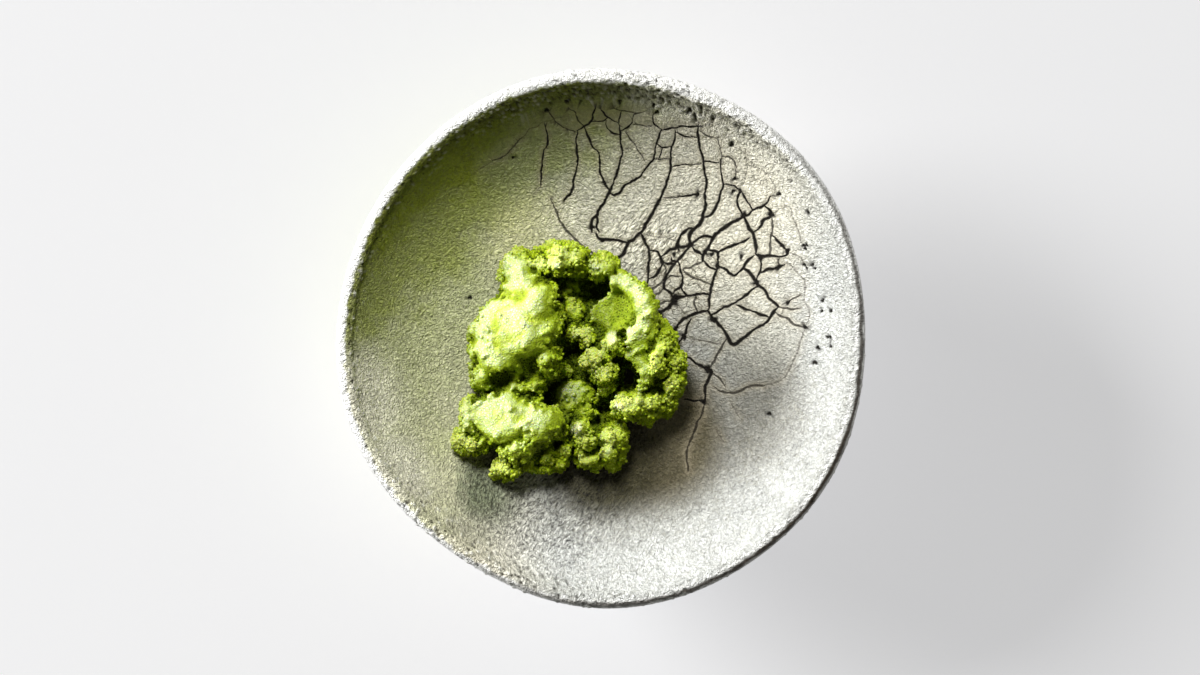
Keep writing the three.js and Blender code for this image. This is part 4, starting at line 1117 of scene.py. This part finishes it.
def craquelureGroup():
    # a net of fine cracks: edges of irregular cells, bent by noise, with the tone of each cell
    group, given, result = newGroup("craquelure", [
        ("Position", "NodeSocketVector", None), ("Cell Size", "NodeSocketFloat", 1.4),
        ("Bend", "NodeSocketFloat", 0.5), ("Line Width", "NodeSocketFloat", 0.1)],
        [("Line", "NodeSocketFloat"), ("Dome", "NodeSocketFloat"), ("Cell", "NodeSocketFloat")])
    bend = place(group, "TexNoise", {"Vector": given["Position"], "Scale": 0.9, "Detail": 2.0})
    middle = {0: bend.outputs["Color"], 1: (0.5, 0.5, 0.5)}
    centred = place(group, "VectorMath", middle, operation="SUBTRACT").outputs[0]
    shift = place(group, "VectorMath", {0: centred, "Scale": given["Bend"]}, operation="SCALE").outputs[0]
    moved = place(group, "VectorMath", {0: given["Position"], 1: shift}, operation="ADD").outputs[0]
    scale = figured(group, "DIVIDE", 1.0, given["Cell Size"])
    cells = {"Vector": moved, "Scale": scale}
    edge = place(group, "TexVoronoi", cells, feature="DISTANCE_TO_EDGE").outputs[0]
    tone = place(group, "TexVoronoi", cells).outputs["Color"]
    group.links.new(ranged(group, edge, 0.0, given["Line Width"], 1.0, 0.0), result["Line"])
    group.links.new(ranged(group, edge, 0.0, 0.45), result["Dome"])
    group.links.new(place(group, "SeparateColor", {0: tone}).outputs[0], result["Cell"])
    return group


def wrinkleGroup():
    # worm-like creases, where soft noise passes through its middle value, and the swelling between them
    group, given, result = newGroup("wrinkle", [
        ("Position", "NodeSocketVector", None), ("Size", "NodeSocketFloat", 1.0),
        ("Crease", "NodeSocketFloat", 0.07)],
        [("Crease", "NodeSocketFloat"), ("Swelling", "NodeSocketFloat")])
    scale = figured(group, "DIVIDE", 1.0, given["Size"])
    settings = {"Vector": given["Position"], "Scale": scale, "Detail": 1.0, "Roughness": 0.4,
                "Distortion": 0.7}
    noise = place(group, "TexNoise", settings).outputs[0]
    away = figured(group, "ABSOLUTE", figured(group, "SUBTRACT", noise, 0.5))
    group.links.new(ranged(group, away, 0.0, given["Crease"], 1.0, 0.0), result["Crease"])
    group.links.new(ranged(group, away, 0.0, 0.16), result["Swelling"])
    return group


mottle = mottleGroup()
craquelure = craquelureGroup()
wrinkle = wrinkleGroup()


def startMaterial(name):
    # an empty material, its Principled shader, and its position in mm
    material = bpy.data.materials.new(name)
    material.use_nodes = True
    tree = material.node_tree
    shader = tree.nodes["Principled BSDF"]
    coordinate = place(tree, "TexCoord").outputs["Object"]
    position = place(tree, "Mapping", {"Vector": coordinate, "Scale": (1000, 1000, 1000)}).outputs[0]
    return material, tree, shader, position


def attribute(tree, name):
    return place(tree, "Attribute", attribute_name=name).outputs["Fac"]


def grouped(tree, group, sockets):
    # a shared group placed with its own values
    return place(tree, "Group", sockets, node_tree=group).outputs


glaze = {
    "clear": (0.47, 0.47, 0.435, 1),      # floor towards the lower right
    "bright": (0.62, 0.628, 0.61, 1),     # wall towards the lower right
    "pearl": (0.98, 0.94, 0.79, 1),       # thin and pale among the cracks and on the wall at the lower left
    "olive": (0.63, 0.65, 0.37, 1),       # towards the left
    "deepOlive": (0.29, 0.335, 0.03, 1),  # olive where the glaze ran thick, darkened up the wall at the upper left as painted shade
    "warm": (0.84, 0.79, 0.63, 1),        # towards the lower left
    "grey": (0.20, 0.225, 0.14, 1),       # painted shadow of the heap, grey-green, below its left side
    "heapShadowTone": (0.13, 0.105, 0.045, 1),     # painted shadow of the heap on the glaze beside and below it
    # darkest core of the painted shadow, right below the heap
    "heapShadowCore": (0.045, 0.04, 0.017, 1),
    "cool": (0.33, 0.345, 0.25, 1),       # thin and grey towards the top
    "beige": (0.86, 0.83, 0.50, 1),       # beside the heap's top
    "stain": (0.006, 0.004, 0.002, 1),    # in the cracks
    "halo": (0.50, 0.43, 0.30, 1),        # soaked in beside them
    "fineLine": (0.26, 0.235, 0.15, 1),
    # dark grit inside the lip's crest: real grit, darkened further as painted shade where the lip's inner
    # half faces away from the lights
    "gritDark": (0.23, 0.215, 0.12, 1),
    "gritPit": (0.03, 0.025, 0.012, 1),
    "gritBead": (0.85, 0.84, 0.78, 1),
    "lip": (0.86, 0.86, 0.84, 1),         # thin and white on the lip's outer half, and painted light on the flank that faces the lights
    "burntAndShade": (0.06, 0.045, 0.03, 1),      # brown line on the lip towards the lower right: a burnt edge, and painted shade on the outer side turned from the lights
    "clay": (0.40, 0.30, 0.21, 1),        # bare foot
    "roughness": 0.42,
    "bump": (0.85, 0.0003),               # strength, and height in m
    # soft round places: strength, place in mm (a place without a height is a little above the floor), and the
    # distances at which each begins to fade and is gone
    "places": {
        "paleTop": [(0.9, (17, 30), 14, 34)],
        "paleRight": [(0.28, (30, 2), 4, 12)],
        "thinLeft": [(0.75, (-46, -12, 20), 5, 15), (0.75, (-40, -25, 20), 4, 12)],
        "coolTop": [(0.35, (-13, 37), 5, 15)],
        "beigeLeft": [(0.7, (-11, 17), 5, 15)],
        "paleMiddle": [(0.7, (-3, 21), 3, 11)],
        # painted shadow below the heap's left side, grey-green, and its end up the wall
        "greyShadowPatch": [(0.95, (-25, -31), 5.5, 13)],
        "greyShadowWall": [(0.35, (-24, -35, 18), 2, 8)],
        # painted shadow of the heap, below it and fainter off its right side, then its darkest core
        "heapShadow": [(0.9, (10, -18), 9, 18), (0.252, (31, -15), 6, 16)],
        "heapShadowCore": [(0.95, (0.5, -23.5), 7, 14.5)],
        "slanting": [(1.0, (-12, -30), 10, 27), (1.0, (8, 17), 4, 13)],
        "calm": [(0.4, (34, -24, 16), 10, 28)],
        "netted": [(0.35, (15, 11), 5, 17)],
        "darkNet": [(0.7, (13, 10), 4, 14)],
    },
}


def distant(tree, position, spot):
    return place(tree, "VectorMath", {0: position, 1: spot}, operation="DISTANCE").outputs["Value"]


def nearPlaces(tree, position, name):
    # the greatest of a group of soft round masks
    total = 0.0
    for strength, spot, low, high in glaze["places"][name]:
        away = distant(tree, position, (*spot, 9)[:3])
        total = figured(tree, "MAXIMUM", total, ranged(tree, away, low, high, strength, 0.0))
    return total


def slopeAlong(tree, axes, alongX, alongY):
    # alongX times x plus alongY times y
    part = figured(tree, "MULTIPLY", axes.outputs[1], alongY)
    return figured(tree, "MULTIPLY_ADD", axes.outputs[0], alongX, part)


def tintsWithPaintedShade(tree, position, axes, patches, clouds):
    # the glaze's colour by place: clear towards the lower right, warm and olive towards the left, with soft
    # patches; painted shade darkens the upper-left wall, and painted shadows of the heap, grey and brown,
    # show only inside the dish
    def laid(colour, name, over, within=None):
        mask = nearPlaces(tree, position, name)
        if within is not None:
            mask = figured(tree, "MULTIPLY", mask, within)
        return tinted(tree, mask, colour, glaze[over])

    outward = distant(tree, position, (0, 0, 12))
    colour = tinted(tree, ranged(tree, outward, 33.0, 43.0), glaze["clear"], glaze["bright"])
    downLeft = slopeAlong(tree, axes, -0.9, -0.15)
    colour = tinted(tree, ranged(tree, downLeft, 12.0, 30.0), colour, glaze["warm"])
    colour = laid(colour, "paleTop", "pearl")
    colour = laid(colour, "paleRight", "pearl")
    wavy = figured(tree, "MULTIPLY_ADD", patches["Patches"], 5.0, slopeAlong(tree, axes, -0.9, 0.42))
    colour = tinted(tree, ranged(tree, wavy, 0.0, 30.0), colour, glaze["olive"])
    # painted shade: darker olive up the upper-left wall, which faces away from the lights, over the glaze's
    # thicker tint
    thickAndShaded = figured(tree, "MULTIPLY_ADD", patches["Patches"], 3.5, slopeAlong(tree, axes, -0.7, 0.72))
    thickAndShaded = figured(tree, "MULTIPLY_ADD", clouds["Patches"], 1.5, thickAndShaded)
    thickAndShadedShare = figured(tree, "ADD", ranged(tree, thickAndShaded, 24.5, 33.0, 0.0, 0.7),
                        ranged(tree, thickAndShaded, 36.0, 42.0, 0.0, 0.28))
    colour = tinted(tree, thickAndShadedShare, colour, glaze["deepOlive"])
    colour = laid(colour, "thinLeft", "pearl")
    colour = laid(colour, "coolTop", "cool")
    colour = laid(colour, "beigeLeft", "beige")
    colour = laid(colour, "paleMiddle", "pearl")

    inside = attribute(tree, "inside")
    edge = figured(tree, "MULTIPLY_ADD", clouds["Patches"], 1.2, axes.outputs[0])
    sharpEdge = ranged(tree, edge, -28.5, -25.0)  # the painted shadow's sharp left edge
    greyShadow = figured(tree, "MULTIPLY", nearPlaces(tree, position, "greyShadowPatch"), sharpEdge)
    greyShadow = figured(tree, "MAXIMUM", greyShadow, nearPlaces(tree, position, "greyShadowWall"))
    colour = tinted(tree, figured(tree, "MULTIPLY", greyShadow, inside), colour, glaze["grey"])
    # painted shadow of the heap, darkest right below it, only inside the dish
    colour = laid(colour, "heapShadow", "heapShadowTone", inside)
    return laid(colour, "heapShadowCore", "heapShadowCore", inside)


def leatherySkin(tree, position):
    # creases, the swelling between them and soft dimples: stretched along a slant in places, and
    # worm-like elsewhere
    turned = {"Vector": position, "Rotation": (0, 0, 0.98), "Scale": (2.3, 1.0, 1.0)}
    slanted = place(tree, "Mapping", turned, vector_type="TEXTURE").outputs[0]
    along = grouped(tree, wrinkle, {"Position": slanted, "Size": 0.7, "Crease": 0.075})
    ridges = grouped(tree, mottle, {"Position": slanted, "Patch Size": 0.62, "Grain Size": 0.4})
    worms = grouped(tree, wrinkle, {"Position": position, "Size": 0.6, "Crease": 0.06})
    dimples = grouped(tree, mottle, {"Position": position, "Patch Size": 0.7, "Grain Size": 0.4})
    slanting = nearPlaces(tree, position, "slanting")

    def mixed(elsewhere, there):
        return place(tree, "Mix", {0: slanting, 2: elsewhere, 3: there}).outputs[0]

    creases, swelling = mixed(worms["Crease"], along["Crease"]), mixed(worms["Swelling"], along["Swelling"])
    return creases, swelling, mixed(dimples["Patches"], ridges["Patches"]), mixed


def rimAndFoot(tree, colour, stained, bare):
    # stained cracks; the rim's grit, white lip and brown line, which also paint shade and light at the lip;
    # the bare foot
    def over(colour, mask, strength, name):
        return tinted(tree, figured(tree, "MULTIPLY", mask, strength), colour, glaze[name])

    colour = over(colour, attribute(tree, "halo"), 0.45, "halo")
    colour = over(colour, stained, 1.0, "stain")
    for name, strength, shade in (("gritAndShade", 0.72, "gritDark"), ("lip", 1.0, "lip"), ("pit", 1.0, "gritPit"),
                                  ("bead", 0.9, "gritBead"), ("burntAndShade", 1.0, "burntAndShade")):
        colour = over(colour, attribute(tree, name), strength, shade)
    return over(colour, bare, 1.0, "clay")


def glazeMaterial():
    material, tree, shader, position = startMaterial("crackleGlaze")
    axes = place(tree, "SeparateXYZ", {0: position})
    patches = grouped(tree, mottle, {"Position": position, "Patch Size": 9.0, "Grain Size": 0.5})
    clouds = grouped(tree, mottle, {"Position": position, "Patch Size": 3.2, "Grain Size": 1.0})
    colour = tintsWithPaintedShade(tree, position, axes, patches, clouds)

    # how much light the skin gives back: patches, grain, creases and dimples, all quieter in the calm place
    creases, swelling, leather, mixed = leatherySkin(tree, position)
    calm = figured(tree, "SUBTRACT", 1.0, nearPlaces(tree, position, "calm"))
    shade = figured(tree, "MULTIPLY_ADD", calm, 0.55, 0.47)
    for value, strength in ((patches["Patches"], 0.07), (clouds["Patches"], 0.08), (patches["Grain"], 0.15),
                            (clouds["Grain"], 0.05), (creases, mixed(-0.15, -0.45))):
        shade = figured(tree, "MULTIPLY_ADD", value, strength, shade)
    leathery = mixed(ranged(tree, axes.outputs[0], -20.0, 5.0, 0.13, 0.17), 0.5)
    shade = figured(tree, "MULTIPLY_ADD", leather, figured(tree, "MULTIPLY", leathery, calm), shade)
    colour = shaded(tree, colour, shade)

    # the net of fine lines between the cracks
    settings = {"Position": position, "Cell Size": 2.1, "Bend": 1.4, "Line Width": 0.055}
    net = grouped(tree, craquelure, settings)
    dense = figured(tree, "ADD", nearPlaces(tree, position, "netted"), 0.22)
    colour = tinted(tree, figured(tree, "MULTIPLY", net["Line"], dense), colour, glaze["fineLine"])
    middling = figured(tree, "MULTIPLY", ranged(tree, net["Line"], 0.3, 1.0),
                       nearPlaces(tree, position, "darkNet"))
    colour = tinted(tree, middling, colour, glaze["stain"])

    stained, bare = attribute(tree, "stain"), attribute(tree, "bare")
    tree.links.new(rimAndFoot(tree, colour, stained, bare), shader.inputs["Base Color"])
    rough = figured(tree, "MULTIPLY_ADD", attribute(tree, "gritAndShade"), 0.3, glaze["roughness"])
    rough = figured(tree, "MULTIPLY_ADD", figured(tree, "MAXIMUM", stained, bare), 0.35, rough)
    rough = figured(tree, "MULTIPLY_ADD", patches["Patches"], 0.05, rough)
    tree.links.new(rough, shader.inputs["Roughness"])
    relief = figured(tree, "MULTIPLY_ADD", leather, 0.45, swelling)
    relief = figured(tree, "MULTIPLY_ADD", patches["Grain"], 0.22, relief)
    relief = figured(tree, "MULTIPLY_ADD", net["Line"], -0.5, relief)
    raised(tree, shader, figured(tree, "MULTIPLY", relief, calm), *glaze["bump"])
    shader.inputs["Specular IOR Level"].default_value = 0.25
    return material


paste = {
    "pale": (0.76, 0.83, 0.55, 1),        # pressed smooth; painted light on faces that look towards the lights
    "side": (0.38, 0.50, 0.025, 1),       # smooth; painted shade on faces turned from the lights
    "open": (0.76, 0.86, 0.24, 1),        # crumbs on the tops, painted light where the broad form faces the lights
    "shadedCrumb": (0.46, 0.60, 0.022, 1),      # crumbs lower down and turned from the lights, painted shade
    "shaded": (1.0, 1.0, 0.06, 1),        # multiplied in where light is lost, which turns it greener
    "deep": (0.022, 0.045, 0.001, 1),     # painted shade between crumbs, in hollows and on sides turned from the lights
    "tip": (0.86, 0.95, 0.28, 1),         # tips of single crumbs, painted light where they face the lights
    "scooped": (0.155, 0.215, 0.012, 1),  # moist and smooth in the scoop's hollow, darkened there as painted shade
    "palest": (0.94, 0.98, 0.60, 1),      # dry crumbs, and painted highlight where they face the lights
    "roughness": 0.4,
    "bump": (0.8, 0.00018),               # strength, and height in m
    "softRadius": (0.8, 1.0, 0.12),       # how far light spreads in it, as shares of the depth below
    "softDepth": 0.00035,                 # m
}


def pasteMaterial():
    material, tree, shader, position = startMaterial("gratedPaste")
    patches = grouped(tree, mottle, {"Position": position, "Patch Size": 4.5, "Grain Size": 0.42})
    coarse = grouped(tree, mottle, {"Position": position, "Patch Size": 1.6, "Grain Size": 0.8})
    settings = {"Position": position, "Cell Size": 0.55, "Bend": 0.35, "Line Width": 0.3}
    fibres = grouped(tree, craquelure, settings)
    crumbly, broad, nookAt = (attribute(tree, name) for name in ("crumbly", "broad", "nook"))
    hollow = figured(tree, "MULTIPLY_ADD", patches["Patches"], 0.03, attribute(tree, "hollow"))
    scooped = ranged(tree, attribute(tree, "scooped"), 0.1, 0.7)
    # how far the skin and the broad form face the lights, for painted light and shade
    slope = place(tree, "NewGeometry").outputs["Normal"]
    towards = {0: slope, 1: heap["lightsSide"]}
    facing = place(tree, "VectorMath", towards, operation="DOT_PRODUCT").outputs["Value"]
    both = figured(tree, "MULTIPLY_ADD", broad, 0.5, figured(tree, "MULTIPLY", facing, 0.5))

    # smooth faces: painted light, paler where they look towards the lights and less so in hollows; darker,
    # moist green in the scoop as painted shade
    litShare = ranged(tree, figured(tree, "MULTIPLY_ADD", patches["Patches"], 0.06, both), 0.48, 0.92)
    litShare = figured(tree, "MULTIPLY", litShare, ranged(tree, hollow, 0.42, 0.6, 1.0, 0.0))
    litShare = figured(tree, "MULTIPLY", litShare, ranged(tree, scooped, 0.0, 1.0, 1.0, 0.3))
    smooth = tinted(tree, litShare, paste["side"], paste["pale"])
    # painted shade in the scoop's hollow, streaked
    streaked = figured(tree, "MULTIPLY", scooped, ranged(tree, coarse["Patches"], -0.3, 0.9, 1.0, 0.25))
    smooth = tinted(tree, streaked, smooth, paste["scooped"])

    # crumbly faces, painted lighter on tops that face the lights, and painted light on the tips of single
    # crumbs
    topmost = figured(tree, "MULTIPLY", ranged(tree, hollow, 0.3, 0.5, 1.0, 0.0),
                      ranged(tree, broad, 0.1, 0.85))
    crumb = tinted(tree, topmost, paste["shadedCrumb"], paste["open"])
    rough = figured(tree, "MULTIPLY_ADD", patches["Patches"], 0.12, crumbly)
    colour = tinted(tree, ranged(tree, rough, 0.15, 0.75), smooth, crumb)
    tip = figured(tree, "MULTIPLY", ranged(tree, attribute(tree, "ownTone"), 0.4, 0.9, 0.0, 0.5),
                  ranged(tree, facing, 0.2, 0.9, 0.2, 1.0))
    tip = figured(tree, "MULTIPLY", tip, ranged(tree, nookAt, 0.25, 0.5, 1.0, 0.25))
    colour = tinted(tree, tip, colour, paste["tip"])

    # painted shade: deep green between crumbs, in hollows and on the sides turned from the lights; the
    # palest, dry crumbs stay pale
    crumbs = figured(tree, "MULTIPLY", ranged(tree, crumbly, 0.1, 0.45, 0.05, 1.0),
                     ranged(tree, scooped, 0.0, 1.0, 1.0, 0.0))
    sunken = figured(tree, "MULTIPLY", ranged(tree, hollow, 0.44, 0.61, 0.0, 0.95),
                     ranged(tree, scooped, 0.0, 1.0, 1.0, 0.55))
    nook = figured(tree, "MULTIPLY_ADD", ranged(tree, nookAt, 0.51, 0.7), crumbs, sunken)
    nook = figured(tree, "ADD", nook, ranged(tree, both, -0.35, 0.5, 0.68, 0.0))
    greener = figured(tree, "MAXIMUM", figured(tree, "MULTIPLY", nook, 1.3),
                      ranged(tree, hollow, 0.43, 0.51, 0.0, 0.75))
    colour = tinted(tree, greener, colour, paste["shaded"], "MULTIPLY")
    colour = tinted(tree, figured(tree, "MINIMUM", nook, 0.97), colour, paste["deep"])
    # painted highlight on the palest crumbs, only where they face the lights
    palest = figured(tree, "MULTIPLY", attribute(tree, "palest"), ranged(tree, both, 0.3, 0.85, 0.0, 0.9))
    colour = tinted(tree, palest, colour, paste["palest"])

    # fine grain in the tone, and fibres
    shade = figured(tree, "MULTIPLY_ADD", patches["Grain"], 0.1, 0.95)
    colour = shaded(tree, colour, figured(tree, "MULTIPLY_ADD", coarse["Patches"], 0.08, shade))
    grainy = figured(tree, "MULTIPLY", ranged(tree, fibres["Dome"], 0.0, 0.8, 1.0, 0.0),
                     ranged(tree, crumbly, 0.1, 0.6, 0.6, 0.25))
    tree.links.new(tinted(tree, grainy, colour, paste["side"]), shader.inputs["Base Color"])
    rough = figured(tree, "MULTIPLY_ADD", fibres["Cell"], 0.2, paste["roughness"])
    tree.links.new(rough, shader.inputs["Roughness"])
    relief = figured(tree, "MULTIPLY_ADD", patches["Grain"], 0.5, fibres["Dome"])
    relief = figured(tree, "MULTIPLY_ADD", coarse["Grain"], 0.7, relief)
    relief = figured(tree, "MULTIPLY", relief, ranged(tree, crumbly, 0.1, 0.5, 0.8, 1.0))
    raised(tree, shader, relief, *paste["bump"])
    shader.inputs["Subsurface Weight"].default_value = 0.6
    shader.inputs["Subsurface Radius"].default_value = paste["softRadius"]
    shader.inputs["Subsurface Scale"].default_value = paste["softDepth"]
    shader.inputs["Specular IOR Level"].default_value = 0.08
    return material


dishPiece.data.materials.append(glazeMaterial())
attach(dishPiece, "root")
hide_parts("dish")
pasteLook = pasteMaterial()
for piece in (heapPiece, grainPiece):
    piece.data.materials.append(pasteLook)
    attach(piece, "root")
    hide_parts("wasabi")
print("materials done")


studio = {
    "floorColour": (0.62, 0.62, 0.63, 1),
    "floorGlow": 0.565,                   # a lit table top, so that shadows on it stay pale
    "glowColour": (0.97, 0.97, 1, 1),
    "floorHalf": 3.0,                     # m
    # lights: azimuth and elevation in degrees, distance, width and height in m, power in W
    "lights": {"topLight": (107, 48, 2.6, 0.9, 0.9, 80), "sideLight": (158, 15, 2.6, 1.4, 0.9, 116)},
    "aim": 0.012,                         # m above the table
    "lightColour": (1.0, 1.0, 0.985),
    "skyColour": (1.0, 1.0, 0.6),
    "skyStrength": 0.05,
    "lens": 150,
    "sensor": 36,
    "viewWidth": 0.2248,                  # m across the frame at the lip
}


def buildFloor():
    half = studio["floorHalf"]
    mesh = bpy.data.meshes.new("tableTop")
    corners = [(-half, -half, 0), (half, -half, 0), (half, half, 0), (-half, half, 0)]
    mesh.from_pydata(corners, [], [(0, 1, 2, 3)])
    floor = bpy.data.objects.new("tableTop", mesh)
    bpy.context.scene.collection.objects.link(floor)
    material = bpy.data.materials.new("paleTable")
    material.use_nodes = True
    shader = material.node_tree.nodes["Principled BSDF"]
    shader.inputs["Base Color"].default_value = studio["floorColour"]
    shader.inputs["Roughness"].default_value = 0.9
    shader.inputs["Specular IOR Level"].default_value = 0.1
    shader.inputs["Emission Color"].default_value = studio["glowColour"]
    shader.inputs["Emission Strength"].default_value = studio["floorGlow"]
    mesh.materials.append(material)
    return floor


def buildLights(floor):
    lights = {}
    for name, (azimuth, elevation, away, width, height, power) in studio["lights"].items():
        azimuth, elevation = np.radians(azimuth), np.radians(elevation)
        level = np.cos(elevation)
        toward = Vector((np.cos(azimuth) * level, np.sin(azimuth) * level, np.sin(elevation)))
        lamp = bpy.data.lights.new(name, "AREA")
        lamp.shape = "ELLIPSE"
        lamp.size, lamp.size_y = width, height
        lamp.energy = power
        lamp.color = studio["lightColour"]
        light = bpy.data.objects.new(name, lamp)
        light.location = toward * away + Vector((0, 0, studio["aim"]))
        light.rotation_euler = toward.to_track_quat("Z", "Y").to_euler()
        bpy.context.scene.collection.objects.link(light)
        lights[name] = light

    # the top light leaves the table out, so that the dish has one shadow on it
    kept = bpy.data.collections.new("leftOutOfTopLight")
    kept.objects.link(floor)
    lights["topLight"].light_linking.receiver_collection = kept
    for row in kept.collection_objects:
        row.light_linking.link_state = "EXCLUDE"
    world = bpy.data.worlds.new("studioAir")
    world.use_nodes = True
    air = world.node_tree.nodes["Background"]
    air.inputs["Color"].default_value = (*studio["skyColour"], 1)
    air.inputs["Strength"].default_value = studio["skyStrength"]
    bpy.context.scene.world = world


def buildCamera():
    # straight above the middle that the dish was thrown on; the lip's plane is viewWidth across
    camera = bpy.data.objects.new("camera", bpy.data.cameras.new("camera"))
    camera.data.lens = studio["lens"]
    camera.data.sensor_width = studio["sensor"]
    away = studio["viewWidth"] * studio["lens"] / studio["sensor"]
    camera.location = (-middle[0] * mm, -middle[1] * mm, lipCentre * mm + away)
    bpy.context.scene.collection.objects.link(camera)
    bpy.context.scene.camera = camera


buildLights(buildFloor())
buildCamera()
bpy.context.scene.view_settings.view_transform = "Standard"
print("studio done")
